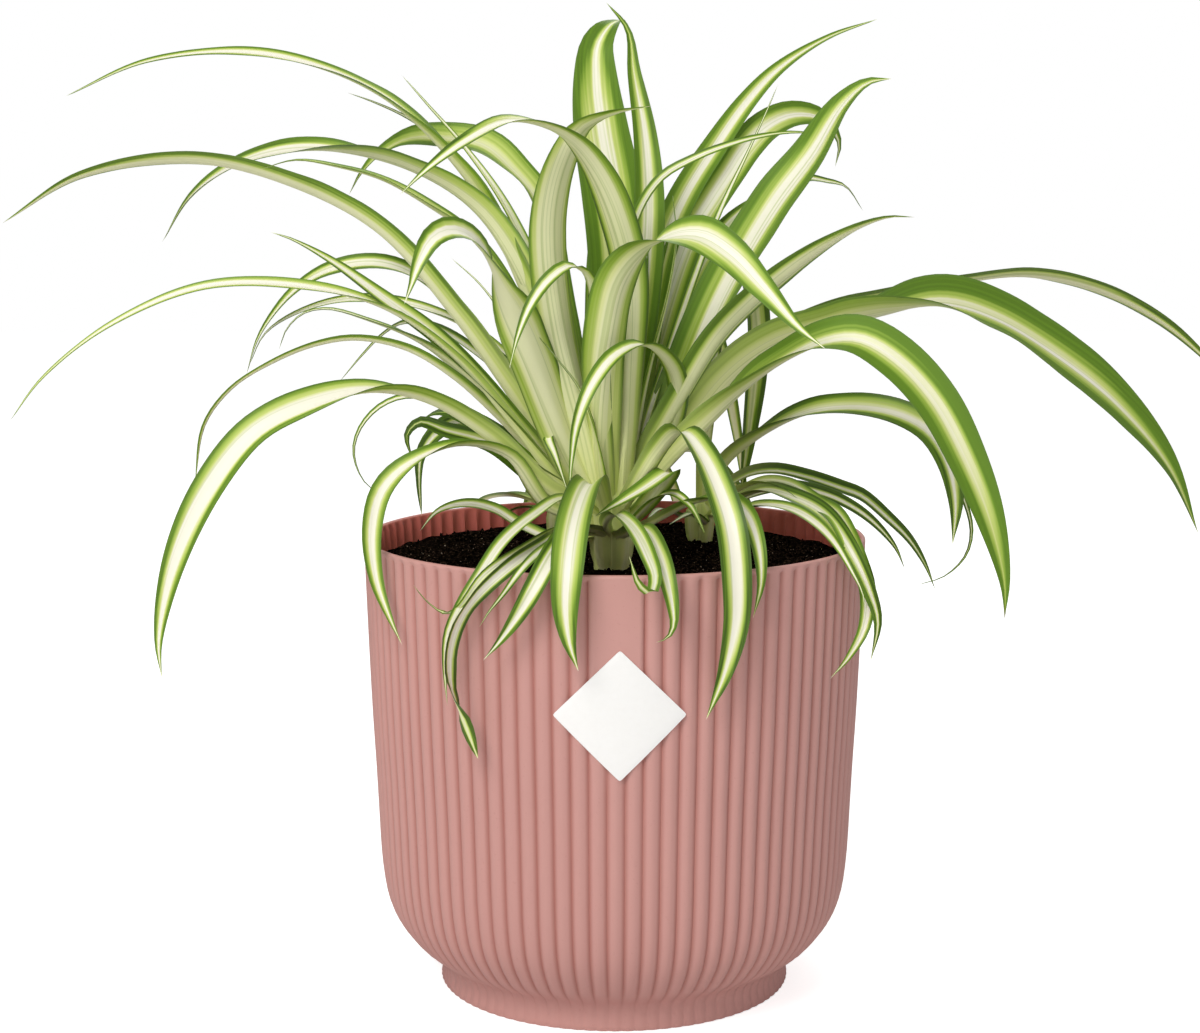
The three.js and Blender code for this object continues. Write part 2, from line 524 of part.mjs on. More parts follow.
function fromFrontView([across, up, toward]) {
  const reach = (toward + frontEye.y) / frontEye.y;
  return new THREE.Vector3(
    frontEye.x + (across - frontEye.x) * reach,
    -toward,
    frontEye.z + (up - frontEye.z) * reach,
  );
}

// A leaf starts in its crown, rises in the sheath and then follows its own points
function leafCurve(points, crown) {
  const places = points.map(fromFrontView);
  const outward = new THREE.Vector3(places[0].x - crown.x, places[0].y - crown.y, 0).normalize();
  const foot = new THREE.Vector3(crown.x, crown.y, soilMiddle - sheath.footDepth)
    .addScaledVector(outward, sheath.footOut);
  const collar = new THREE.Vector3(crown.x, crown.y, soilMiddle + sheath.collarHeight)
    .addScaledVector(outward, sheath.collarOut);
  return new THREE.CatmullRomCurve3([foot, collar, ...places], false, 'centripetal');
}

// The rolls are spread evenly along the leaf, and each eases into the next
function rollAt(rolls, t) {
  const place = t * (rolls.length - 1);
  const before = Math.min(Math.floor(place), rolls.length - 2);
  const roll = THREE.MathUtils.lerp(rolls[before], rolls[before + 1], smooth(place - before));
  return THREE.MathUtils.degToRad(roll);
}

function halfWidthAt(width, taper, t) {
  const widening = baseWidthShare + (1 - baseWidthShare) * smooth(t / fullWidthAt);
  return (width / 2) * widening * (1 - t ** taper) ** taperRoot;
}

function foldAt(t) {
  return THREE.MathUtils.degToRad(fold.atBase + (fold.atTip - fold.atBase) * smooth(t / fold.openedAt));
}

// One blade: a V of four corners at each step, with the curve midway between its keel and its margins,
// closed to a point at the tip.
// Its upper and lower faces are split along the same diagonals, so that they never cross in a twist.
function makeBlade({ width, taper, rolls, points }, crown) {
  const curve = leafCurve(points, crown);
  const length = curve.getLength();
  const steps = Math.max(leastSegments, Math.round(length / segmentLength));
  const start = curve.getPointAt(0);
  const end = curve.getPointAt(1);
  const heading = new THREE.Vector3(end.x - start.x, end.y - start.y, 0).normalize();
  const level = new THREE.Vector3(heading.y, -heading.x, 0);
  const turnSign = heading.x >= 0 ? 1 : -1;
  const vertices = [];
  const faces = [];
  for (let step = 0; step < steps; step += 1) {
    const t = step / steps;
    const place = curve.getPointAt(t);
    const along = curve.getTangentAt(t);
    const side = level.clone().addScaledVector(along, -level.dot(along)).normalize();
    const face = side.clone().cross(along);
    const turn = turnSign * rollAt(rolls, t);
    const turnedSide = side.clone().multiplyScalar(Math.cos(turn)).addScaledVector(face, -Math.sin(turn));
    const turnedFace = face.clone().multiplyScalar(Math.cos(turn)).addScaledVector(side, Math.sin(turn));
    const half = Math.max(halfWidthAt(width, taper, t), bladeThickness / 2);
    const foldAngle = foldAt(t);
    const spread = half * Math.cos(foldAngle);
    const rise = (half * Math.sin(foldAngle)) / 2;
    const thickness = bladeThickness * (1 - tipThinning * t);
    const corner = (across, up) => place.clone()
      .addScaledVector(turnedSide, across)
      .addScaledVector(turnedFace, up);
    vertices.push(...corner(-spread, rise), ...corner(0, thickness / 2 - rise));
    vertices.push(...corner(spread, rise), ...corner(0, -thickness / 2 - rise));
  }
  vertices.push(...end);
  faces.push(0, 2, 1, 0, 3, 2);
  for (let step = 0; step < steps; step += 1) {
    for (let side = 0; side < 4; side += 1) {
      const low = 4 * step + side;
      const next = 4 * step + ((side + 1) % 4);
      if (step === steps - 1) {
        faces.push(low, next, 4 * steps);
      } else if (side < 2) {
        faces.push(low, next, next + 4, low, next + 4, low + 4);
      } else {
        faces.push(low, next, low + 4, next, next + 4, low + 4);
      }
    }
  }
  const geometry = new THREE.BufferGeometry();
  geometry.setAttribute('position', new THREE.Float32BufferAttribute(vertices, 3));
  geometry.setIndex(faces);
  return toSolid(geometry);
}

// The sheaths at the foot of the leaves, wrapped into one short stalk
function crownStub({ x, y, radius, height }) {
  const bottom = soilMiddle - crownDepth;
  const section = [[0, bottom], [radius, bottom], [radius, soilMiddle],
    [0.95 * radius, soilMiddle + height / 2], [0.6 * radius, soilMiddle + 0.9 * height],
    [0, soilMiddle + height]];
  return toSolid(turned(section, crownSectors).translate(x, y, 0));
}

// The outermost shell of a solid, with small hollows between crossing blades filled
function outerShell(solid) {
  const shells = solid.decompose();
  return shells.reduce((largest, shell) => (shell.volume() > largest.volume() ? shell : largest));
}

function makeRosette(leaves, crown) {
  const blades = leaves.map((blade) => makeBlade(blade, crown));
  return outerShell(wasm.Manifold.union([crownStub(crown), ...blades]));
}

const plant = new THREE.Group();
plant.add(named('pot', makePot(), finishes.pot));
plant.add(named('soil', makeSoil(), finishes.soil));
plant.add(named('label', makeLabel(), finishes.label));
plant.add(named('rosette_main', makeRosette(mainLeaves, crowns.main), finishes.leaf));
plant.add(named('rosette_right', makeRosette(rightLeaves, crowns.right), finishes.leaf));
plant.add(named('rosette_back', makeRosette(backLeaves, crowns.back), finishes.leaf));

export default plant;
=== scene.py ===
# A potted spider plant for product shots: striped leaves from three crowns, in a ribbed plastic pot.
# Metres, +Z up, the front is towards -Y. Each piece has its settings in one dictionary, in millimetres.

import math
import random

import bpy
from mathutils import Euler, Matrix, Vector, noise


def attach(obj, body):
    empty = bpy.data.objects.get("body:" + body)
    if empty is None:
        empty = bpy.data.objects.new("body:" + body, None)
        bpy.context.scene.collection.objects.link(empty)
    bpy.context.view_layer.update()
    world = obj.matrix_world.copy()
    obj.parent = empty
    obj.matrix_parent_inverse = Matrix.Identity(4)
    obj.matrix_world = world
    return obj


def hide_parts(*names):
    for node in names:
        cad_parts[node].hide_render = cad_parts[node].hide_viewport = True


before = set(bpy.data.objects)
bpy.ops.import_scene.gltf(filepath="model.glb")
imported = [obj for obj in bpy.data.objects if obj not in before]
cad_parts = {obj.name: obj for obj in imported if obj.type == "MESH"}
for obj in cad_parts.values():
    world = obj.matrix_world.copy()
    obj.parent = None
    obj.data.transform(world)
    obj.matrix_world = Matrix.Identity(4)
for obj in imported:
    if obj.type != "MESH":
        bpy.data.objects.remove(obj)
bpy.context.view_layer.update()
scene = bpy.context.scene
millimetre = 0.001
print("Frame loaded:", ", ".join(sorted(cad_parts)))


# Camera, light and floor

view = {
    "place": (-6.4, -1000, 353),
    "pitchDown": 8.27,  # degrees
    "lens": 68.76,
    "sensor": 36,
}

studio = {
    "viewTransform": "Standard",
    "skyLight": 0.42,
    "backdrop": (1.0, 1.0, 1.0),
    "floor": (226, 226, 226),
    "floorGlow": 0.72,  # lifts the floor to the white of the backdrop, without lighting the plant
    "floorSize": 9000,
    "lamps": [  # name, place, size, watts, colour
        ("keyLamp", (-560, -1120, 1300), 900, 15, (255, 252, 248)),
        ("frontLamp", (-200, -1700, 420), 1300, 4, (255, 253, 250)),
        ("backLamp", (250, 1100, 1250), 1100, 6, (255, 255, 252)),
    ],
    "aim": (0, 0, 210),
}


def toMetres(point):
    return Vector(point) * millimetre


def linear(colour, alpha=1.0):  # from 0-255 sRGB to a shader colour
    parts = [c / 255 for c in colour]
    return tuple(c / 12.92 if c <= 0.04045 else ((c + 0.055) / 1.055) ** 2.4 for c in parts) + (alpha,)


def smooth(value):
    t = min(max(value, 0.0), 1.0)
    return t * t * (3 - 2 * t)


def link(piece):
    scene.collection.objects.link(piece)
    return piece


def makeCamera():
    data = bpy.data.cameras.new("photoCamera")
    data.lens = view["lens"]
    data.sensor_width = view["sensor"]
    data.clip_start = 0.05
    data.clip_end = 50
    camera = link(bpy.data.objects.new("photoCamera", data))
    camera.location = toMetres(view["place"])
    camera.rotation_euler = Euler((math.radians(90 - view["pitchDown"]), 0, 0))
    scene.camera = camera


def makeLamps():
    for name, place, size, watts, colour in studio["lamps"]:
        data = bpy.data.lights.new(name, "AREA")
        data.shape = "DISK"
        data.size = size * millimetre
        data.energy = watts
        data.color = linear(colour)[:3]
        lamp = link(bpy.data.objects.new(name, data))
        lamp.location = toMetres(place)
        away = lamp.location - toMetres(studio["aim"])
        lamp.rotation_euler = away.to_track_quat("Z", "Y").to_euler()


def makeSky():
    scene.view_settings.view_transform = studio["viewTransform"]
    world = bpy.data.worlds.new("studioSky")
    scene.world = world
    world.use_nodes = True
    tree = world.node_tree
    tree.nodes.clear()
    light = newNode(tree, "ShaderNodeBackground", {"Color": (1, 1, 1, 1),
                                                   "Strength": studio["skyLight"]})
    seen = newNode(tree, "ShaderNodeBackground", {"Color": (*studio["backdrop"], 1), "Strength": 1.0})
    path = newNode(tree, "ShaderNodeLightPath")
    mix = newNode(tree, "ShaderNodeMixShader", {0: path.outputs["Is Camera Ray"],
                                                1: light.outputs[0], 2: seen.outputs[0]})
    newNode(tree, "ShaderNodeOutputWorld", {"Surface": mix.outputs[0]})


def makeFloor():
    reach = studio["floorSize"] / 2 * millimetre
    mesh = bpy.data.meshes.new("floor")
    corners = [(-reach, -reach, 0), (reach, -reach, 0), (reach, reach, 0), (-reach, reach, 0)]
    mesh.from_pydata(corners, [], [(0, 1, 2, 3)])
    floor = link(bpy.data.objects.new("floor", mesh))
    material, tree, shader = newMaterial("studioFloor")
    shader.inputs["Base Color"].default_value = linear(studio["floor"])
    shader.inputs["Roughness"].default_value = 0.9
    shader.inputs["Specular IOR Level"].default_value = 0.1
    shader.inputs["Emission Color"].default_value = (1, 1, 1, 1)
    seenDirectly = newNode(tree, "ShaderNodeLightPath").outputs["Is Camera Ray"]
    tree.links.new(calc(tree, "MULTIPLY", seenDirectly, studio["floorGlow"]),
                   shader.inputs["Emission Strength"])
    mesh.materials.append(material)


# Node helpers

def newNode(tree, kind, inputs=None, **settings):
    made = tree.nodes.new(kind)
    for name, value in settings.items():
        setattr(made, name, value)
    for key, value in (inputs or {}).items():
        if isinstance(value, bpy.types.NodeSocket):
            tree.links.new(value, made.inputs[key])
        else:
            made.inputs[key].default_value = value
    return made


def newMaterial(name):
    material = bpy.data.materials.new(name)
    material.use_nodes = True
    tree = material.node_tree
    tree.nodes.clear()
    shader = newNode(tree, "ShaderNodeBsdfPrincipled")
    newNode(tree, "ShaderNodeOutputMaterial", {"Surface": shader.outputs[0]})
    return material, tree, shader


def calc(tree, operation, a, b=0.0, c=0.0):
    return newNode(tree, "ShaderNodeMath", {0: a, 1: b, 2: c}, operation=operation).outputs[0]


def ease(tree, value, low, high, start=0.0, end=1.0):  # a smooth step from start to end
    made = newNode(tree, "ShaderNodeMapRange", {"Value": value, "From Min": low, "From Max": high,
                                                "To Min": start, "To Max": end},
                   interpolation_type="SMOOTHSTEP")
    return made.outputs["Result"]


def objectPlace(tree):
    return newNode(tree, "ShaderNodeTexCoord").outputs["Object"]


def stored(tree, name, output="Fac"):  # a value kept with the points of the mesh
    return newNode(tree, "ShaderNodeAttribute", attribute_name=name).outputs[output]


def rampOf(tree, value, stops):  # a colour ramp through (place, colour) stops
    made = newNode(tree, "ShaderNodeValToRGB", {"Fac": value})
    elements = made.color_ramp.elements
    while len(elements) < len(stops):
        elements.new(0.5)
    for element, (place, colour) in zip(elements, stops):
        element.position = place
        element.color = linear(colour)
    return made.outputs["Color"]


def blendColours(tree, share, first, second):  # the colour sockets of the mix node are 6, 7 and 2
    return newNode(tree, "ShaderNodeMix", {0: share, 6: first, 7: second}, data_type="RGBA").outputs[2]


def noiseOn(tree, vector, scale, detail=2.0, roughness=0.5):
    made = newNode(tree, "ShaderNodeTexNoise", {"Vector": vector, "Scale": scale, "Detail": detail,
                                                "Roughness": roughness})
    return made.outputs["Fac"]


def bumpFrom(tree, height, strength, distance):
    made = newNode(tree, "ShaderNodeBump", {"Height": height, "Strength": strength,
                                            "Distance": distance})
    return made.outputs["Normal"]


def newPiece(name, vertices, faces, materials, sharpAngle):
    mesh = bpy.data.meshes.new(name)
    mesh.from_pydata([toMetres(v) for v in vertices], [], faces)
    mesh.update()
    for material in materials:
        mesh.materials.append(material)
    mesh.shade_smooth()
    mesh.set_sharp_from_angle(angle=math.radians(sharpAngle))
    return link(bpy.data.objects.new(name, mesh))


# Pot

pot = {
    "height": 200,
    "wall": 2.6,
    "ribs": 90,
    "ribDepth": 1.6,
    "ribSharpness": 1.7,  # higher gives flatter crests and narrower valleys
    "stepsPerRib": 10,
    "ribFade": (3.0, 0.8),  # below the lip, where the ribs start to fade and are gone
    "outline": [(77.2, 6), (77.6, 9.5), (80, 13), (84.4, 16), (89, 19.6), (93.4, 24.6),
                (97.8, 31), (101, 38.5), (103, 48), (104.2, 60), (105, 77), (106, 99),
                (107.2, 121), (108.2, 145), (109.1, 170), (110, 197)],  # radius, height
    "lip": (0.5, 0.1, 0.7),  # how far in its rounding reaches, and how low it lies there and outside
    "innerLevels": (198.4, 197, 190, 180, 150, 100, 48, 32, 22, 15.5),
    "footRadius": 78,
    "footRounding": 0.8,
    "footRibs": (5, 24, 0.3),  # the heights between which the ribs deepen, and their share below
    "floor": 3.6,
    "floorCorner": 13,  # the height at which the inside turns in to the floor
    "recess": (1.2, 20, 68),  # depth, inner and outer radius
    "panel": {"halfAngle": 5.6, "edge": 0.8, "bottom": 124, "rise": 5},
    "colour": (206, 154, 147),
    # painted shade: the plastic darker down in the rib valleys
    "valleyShadeColour": (180, 121, 112),
    # painted shade: the inside of the pot darker and redder than the outside
    "insideShadeColour": (206, 98, 88),
    "cloudColour": (212, 157, 149),
    "fleckColour": (164, 106, 98),
}


def potPlastic():
    material, tree, shader = newMaterial("dustyPinkPlastic")
    place = objectPlace(tree)
    depth, inside = stored(tree, "valley"), stored(tree, "inside")
    cloud = noiseOn(tree, place, 9, 3)
    fleck = noiseOn(tree, place, 900, 2, 0.6)
    # painted shade: the deeper a rib valley cuts in, the darker its colour
    colour = blendColours(tree, ease(tree, depth, 0.25, 1.0), linear(pot["colour"]),
                          linear(pot["valleyShadeColour"]))
    # painted shade: the inside of the pot and the inner side of its lip darker and redder
    colour = blendColours(tree, inside, colour, linear(pot["insideShadeColour"]))
    colour = blendColours(tree, ease(tree, cloud, 0.3, 0.7, 0.0, 0.22), colour,
                          linear(pot["cloudColour"]))
    colour = blendColours(tree, ease(tree, fleck, 0.62, 0.75, 0.0, 0.14), colour,
                          linear(pot["fleckColour"]))
    tree.links.new(colour, shader.inputs["Base Color"])
    tree.links.new(ease(tree, cloud, 0.2, 0.8, 0.5, 0.6), shader.inputs["Roughness"])
    shader.inputs["Specular IOR Level"].default_value = 0.42
    grain = noiseOn(tree, place, 1500, 2, 0.6)
    tree.links.new(bumpFrom(tree, grain, 0.25, 0.00012), shader.inputs["Normal"])
    return material


def throughPoints(points, stepsPerSpan):  # a centripetal curve through all the points
    ghosted = [2 * points[0] - points[1], *points, 2 * points[-1] - points[-2]]
    places = []
    for i in range(1, len(ghosted) - 2):
        before, start, end, after = ghosted[i - 1:i + 3]
        pace = [(b - a).length ** 0.5 for a, b in ((before, start), (start, end), (end, after))]
        leave = ((start - before) / pace[0] - (end - before) / (pace[0] + pace[1])
                 + (end - start) / pace[1]) * pace[1]
        arrive = ((end - start) / pace[1] - (after - start) / (pace[1] + pace[2])
                  + (after - end) / pace[2]) * pace[1]
        for step in range(stepsPerSpan):
            t = step / stepsPerSpan
            places.append(start + t * leave + t * t * (3 * (end - start) - 2 * leave - arrive)
                          + t * t * t * (2 * (start - end) + leave + arrive))
    return [*places, points[-1]]


def outerRadiusAt(height):
    outline = pot["outline"]
    if height <= outline[0][1]:
        return outline[0][0] + (pot["footRadius"] - outline[0][0]) * (1 - height / outline[0][1])
    for (lowRadius, low), (highRadius, high) in zip(outline, outline[1:]):
        if height <= high:
            return lowRadius + (highRadius - lowRadius) * (height - low) / (high - low)
    return outline[-1][0]


def ribCut(angle, height):  # how deep the rib pattern cuts in, from 0 to 1
    share = (angle * pot["ribs"] / (2 * math.pi)) % 1
    fromCrest = 2 * min(share, 1 - share)
    start, gone = pot["ribFade"]
    low, high, share = pot["footRibs"]
    fade = smooth((pot["height"] - gone - height) / (start - gone))
    fade *= share + (1 - share) * smooth((height - low) / (high - low))
    panel = pot["panel"]
    fromFront = math.degrees(min(angle % (2 * math.pi), -angle % (2 * math.pi)))
    onPanel = (smooth((panel["halfAngle"] - fromFront) / panel["edge"] + 0.5)
               * smooth((height - panel["bottom"]) / panel["rise"]))
    return fromCrest ** pot["ribSharpness"] * fade * (1 - onPanel)


def potSection():  # [radius, height, rib share, inside] once round the wall's section
    foot, rounding, wall, height = pot["footRadius"], pot["footRounding"], pot["wall"], pot["height"]
    depth, inner, outer = pot["recess"]
    outline = [Vector((r, h, 0)) for r, h in pot["outline"]]
    rows = [(0.01, 0, 0, 0), (inner, 0, 0, 0), (inner, depth, 0, 0), (outer, depth, 0, 0),
            (outer, 0, 0, 0), (foot - 2 * rounding, 0, 0.6, 0),
            (foot - 0.3 * rounding, 0.3 * rounding, 1, 0), (foot, rounding, 1, 0),
            (foot - 0.3, 3, 1, 0)]
    rows += [(p.x, p.y, 1, 0) for p in throughPoints(outline, 2)]
    rim, (reach, high, low) = outline[-1].x, pot["lip"]
    rows += [(rim + 0.05, height - 1.6, 1, 0), (rim, height - low, 1, 0),
             (rim - reach, height - high, 1, 0), (rim - wall / 2, height, 1, 0.3),
             (rim - wall + reach, height - high, 1, 0.6), (rim - wall, height - low, 1, 1)]
    rows += [(outerRadiusAt(level) - wall, level, 1, 1) for level in pot["innerLevels"]]
    floorRadius = foot - wall - 1
    rows += [(floorRadius, pot["floorCorner"], 1, 1), (floorRadius, pot["floor"], 1, 1),
             (0.01, pot["floor"], 0, 1)]
    return rows


def makePot():
    rows = potSection()
    columns = pot["ribs"] * pot["stepsPerRib"]
    vertices, valley, inside = [], [], []
    for radius, height, share, isInside in rows:
        for column in range(columns):
            angle = 2 * math.pi * column / columns
            cut = ribCut(angle, height) * share
            reach = radius - cut * pot["ribDepth"]
            vertices.append((reach * math.sin(angle), -reach * math.cos(angle), height))
            valley.append(cut)
            inside.append(isInside)
    faces = []
    for row in range(len(rows) - 1):
        for column in range(columns):
            low, high = row * columns, (row + 1) * columns
            after = (column + 1) % columns
            faces.append((low + column, low + after, high + after, high + column))
    faces.append(tuple(range(columns))[::-1])
    faces.append(tuple(range((len(rows) - 1) * columns, len(rows) * columns)))
    piece = newPiece("ribbedPot", vertices, faces, [potPlastic()], 50)
    for name, values in (("valley", valley), ("inside", inside)):
        piece.data.attributes.new(name, "FLOAT", "POINT").data.foreach_set("value", values)
    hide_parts("pot")
    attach(piece, "root")
    print("Pot made:", len(piece.data.vertices), "points")


# Soil

soil = {
    "edgeHeight": 188,
    "middleHeight": 188,
    "backRise": 1.5,
    "edgeGap": 0.3,
    "rings": 46,
    "ringCrowding": 0.85,  # below 1 the rings lie closer towards the wall
    "sectors": 180,
    "lumps": (1.3, 0.075),  # height, and how many to the millimetre
    "grains": (0.7, 0.42),
    "chunks": 1500,
    "chunkSizes": (0.5, 1.9),
    "chunkMargin": 2.5,
    "chunkRise": 0.25,  # of its size, how far a chunk's middle stands out of the soil
    "specks": 520,
    "speckSizes": (0.2, 0.65),
    "depth": 22,
    "seed": 5,
    "dark": (4, 3, 2),
    "light": (96, 76, 64),
    "damp": (15, 11, 9),
    "speckColours": [(104, 82, 64), (160, 146, 130)],
}


def soilMix():
    material, tree, shader = newMaterial("darkPottingSoil")
    place = objectPlace(tree)
    fine = noiseOn(tree, place, 700, 4, 0.7)
    coarse = noiseOn(tree, place, 160, 3, 0.6)
    colour = blendColours(tree, ease(tree, fine, 0.5, 0.74), linear(soil["dark"]),
                          linear(soil["light"]))
    colour = blendColours(tree, ease(tree, coarse, 0.35, 0.65, 0.0, 0.5), colour,
                          linear(soil["damp"]))
    tree.links.new(colour, shader.inputs["Base Color"])
    shader.inputs["Roughness"].default_value = 0.85
    shader.inputs["Specular IOR Level"].default_value = 0.0
    tree.links.new(bumpFrom(tree, fine, 0.9, 0.001), shader.inputs["Normal"])
    return material


def speckMix():
    material, tree, shader = newMaterial("paleSoilSpecks")
    place = objectPlace(tree)
    tint = noiseOn(tree, place, 240, 1)
    brown, pale = soil["speckColours"]
    colour = blendColours(tree, ease(tree, tint, 0.46, 0.62), linear(brown), linear(pale))
    tree.links.new(colour, shader.inputs["Base Color"])
    shader.inputs["Roughness"].default_value = 0.8
    return material


def soilReachAt(height):  # to the valleys of the pot's inside, less a gap
    return outerRadiusAt(height) - pot["wall"] - pot["ribDepth"] - soil["edgeGap"]


def soilHeightAt(x, y, rim):
    fromMiddle = math.hypot(x, y) / rim
    mound = (soil["middleHeight"] - soil["edgeHeight"]) * smooth(1.4 * (1 - fromMiddle))
    height = soil["edgeHeight"] + mound + soil["backRise"] * y / rim
    for tall, often in (soil["lumps"], soil["grains"]):
        height += tall * noise.noise(Vector((x * often, y * often, soil["seed"])))
    return height


def addChunk(vertices, faces, kinds, centre, size, kind, draw):
    shape = [Vector(p) for p in ((0, 0, 1), (0.9, 0, 0.1), (0.2, 0.85, -0.1), (-0.8, 0.45, 0.15),
                                 (-0.7, -0.6, -0.1), (0.3, -0.9, 0.1), (0, 0, -0.9))]
    turn = Euler([draw.uniform(0, 2 * math.pi) for _ in range(3)]).to_matrix()
    stretch = Vector((draw.uniform(0.7, 1.4), draw.uniform(0.6, 1.1), draw.uniform(0.5, 1.0)))
    first = len(vertices)
    for corner in shape:
        bent = Vector([c * s * draw.uniform(0.75, 1.2) for c, s in zip(corner, stretch)])
        vertices.append(tuple(centre + turn @ bent * size))
    ring = [1, 2, 3, 4, 5]
    for i, corner in enumerate(ring):
        after = ring[(i + 1) % len(ring)]
        faces.append((first, first + corner, first + after))
        faces.append((first + 6, first + after, first + corner))
    kinds += [kind] * (2 * len(ring))


def makeSoil():
    draw = random.Random(soil["seed"])
    rim = soilReachAt(soil["edgeHeight"])
    sectors, rings = soil["sectors"], soil["rings"]
    vertices, faces = [(0, 0, soilHeightAt(0, 0, rim))], []
    for ring in range(1, rings + 1):
        for sector in range(sectors):
            angle = 2 * math.pi * sector / sectors
            reach = rim * (ring / rings) ** soil["ringCrowding"]
            x, y = reach * math.cos(angle), reach * math.sin(angle)
            vertices.append((x, y, soilHeightAt(x, y, rim)))
    bottom = soil["edgeHeight"] - soil["depth"]
    lowRim = soilReachAt(bottom)
    for sector in range(sectors):
        angle = 2 * math.pi * sector / sectors
        vertices.append((lowRim * math.cos(angle), lowRim * math.sin(angle), bottom))
    for sector in range(sectors):
        after = (sector + 1) % sectors
        faces.append((0, 1 + sector, 1 + after))
        for ring in range(rings):
            low, high = 1 + ring * sectors, 1 + (ring + 1) * sectors
            faces.append((low + sector, high + sector, high + after, low + after))
    faces.append(tuple(range(1 + rings * sectors, 1 + (rings + 1) * sectors))[::-1])
    kinds = [0] * len(faces)
    for count, sizes, kind in ((soil["chunks"], soil["chunkSizes"], 0),
                               (soil["specks"], soil["speckSizes"], 1)):
        for _ in range(count):
            angle = draw.uniform(0, 2 * math.pi)
            reach = (rim - soil["chunkMargin"]) * draw.random() ** 0.5
            x, y = reach * math.cos(angle), reach * math.sin(angle)
            size = draw.uniform(*sizes) * draw.uniform(0.6, 1)
            centre = Vector((x, y, soilHeightAt(x, y, rim) + soil["chunkRise"] * size))
            addChunk(vertices, faces, kinds, centre, size, kind, draw)
    piece = newPiece("pottingSoil", vertices, faces, [soilMix(), speckMix()], 180)
    piece.data.polygons.foreach_set("material_index", kinds)
    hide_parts("soil")
    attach(piece, "root")
    print("Soil made:", len(piece.data.polygons), "faces")


# Label: a blank diamond with rounded corners, bent round the front of the pot

label = {
    "diagonal": 54,
    "height": 143,
    "across": 1.5,
    "thickness": 0.6,
    "lift": 0.3,
    "cells": 36,
    "cornerPower": 60,  # higher gives sharper corners
    "edgeRounding": (0.9, 0.35),  # where the face starts to round over, and its share of the thickness
    "colour": (255, 255, 254),
    "fibreColour": (248, 248, 246),
}


def labelPaper():
    material, tree, shader = newMaterial("blankLabelPaper")
    place = objectPlace(tree)
    fibre = noiseOn(tree, place, 420, 3, 0.6)
    colour = blendColours(tree, ease(tree, fibre, 0.3, 0.8, 0.0, 0.3), linear(label["colour"]),
                          linear(label["fibreColour"]))
    tree.links.new(colour, shader.inputs["Base Color"])
    shader.inputs["Roughness"].default_value = 0.38
    tree.links.new(bumpFrom(tree, fibre, 0.12, 0.0001), shader.inputs["Normal"])
    return material


def labelPoint(a, b, lift):
    power = label["cornerPower"]
    reach, bulge = max(abs(a), abs(b)), (abs(a) ** power + abs(b) ** power) ** (1 / power)
    rounded = reach / bulge if bulge > 0 else 1
    across = label["across"] + (a - b) / 4 * rounded * label["diagonal"]
    height = label["height"] + (a + b) / 4 * rounded * label["diagonal"]
    start, share = label["edgeRounding"]
    edge = smooth((reach - start) / (1 - start)) * share if lift > 0 else 0
    radius = outerRadiusAt(height) + label["lift"] + lift - edge * label["thickness"]
    angle = across / outerRadiusAt(label["height"])
    return radius * math.sin(angle), -radius * math.cos(angle), height


def makeLabel():
    cells = label["cells"]
    side = cells + 1
    vertices = [labelPoint(2 * i / cells - 1, 2 * j / cells - 1, lift)
                for lift in (0, label["thickness"]) for i in range(side) for j in range(side)]
    faces = []
    for i in range(cells):
        for j in range(cells):
            back = i * side + j
            front = side * side + back
            faces.append((front, front + side, front + side + 1, front + 1))
            faces.append((back, back + 1, back + side + 1, back + side))
    edge = [i * side for i in range(cells)] + [cells * side + j for j in range(cells)]
    edge += [i * side + cells for i in range(cells, 0, -1)] + [j for j in range(cells, 0, -1)]
    for here, after in zip(edge, edge[1:] + edge[:1]):
        faces.append((here, after, after + side * side, here + side * side))
    piece = newPiece("blankLabel", vertices, faces, [labelPaper()], 50)
    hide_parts("label")
    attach(piece, "root")
    print("Label made")


# Leaves

blade = {
    "sheath": (5, 4, 6),  # foot depth, foot out, collar out
    "collar": (0.6, 13, 24),  # its height: a share of the first point's, least and most
    "step": 4.2,  # between the sections of a long leaf
    "leastSteps": 46,
    "columns": 10,
    "keelThickness": 0.62,
    "edgeThickness": 0.16,
    "tipThinning": 0.4,
    "baseWidth": 0.55,  # share of the width at the foot
    "fullWidthAt": 0.32,  # of the length
    "taperRoot": 1.3,
    "fold": (55, 20, 0.85),  # degrees at the base and tip, and where it has opened
    "keelRounding": 0.16,
    "keelDrop": 0.43,  # of the half width, so that the folded blade lies evenly about its line
    "leastHalfWidth": 0.2,
    "slimmest": (0.12, 14),  # share of the width that a long tip keeps, and how late it ends
    "edgeWave": 0.015,
    "waveLength": 16,
    "linesPerWidth": 0.7,  # streaks to the millimetre
}

# The short stalks, wrapped in the sheaths that the leaves leave
stalk = {
    "crowns": {  # x, y, radius and height
        "main": (-1, -18, 14, 40),
        "right": (40, 52, 9.5, 20),
        "back": (-24, 44, 9.5, 22),
    },
    "rows": [(0.4, -5, 0), (0.46, -1, 0), (0.56, 0, 0.05), (0.65, 0, 0.16), (0.7, 0, 0.35),
             (0.72, 0, 0.58), (0.64, 0, 0.76), (0.34, 0, 0.92)],  # share of radius, rise, of height
    "sides": 80,
    "sheaths": 5,
    "sheathSlant": 0.012,
    "sheathStep": 0.12,  # of the radius, where one sheath lies over the next
    "look": (0.1, 0.8, 0.2),  # as in leafLooks
    "shade": 0.11,  # how far along a leaf its colours are taken: near the foot, so the stalk takes most of the pale base colour with its painted light
    "lines": 9.0,
    "wraps": 4,  # how often the stripes go round
}

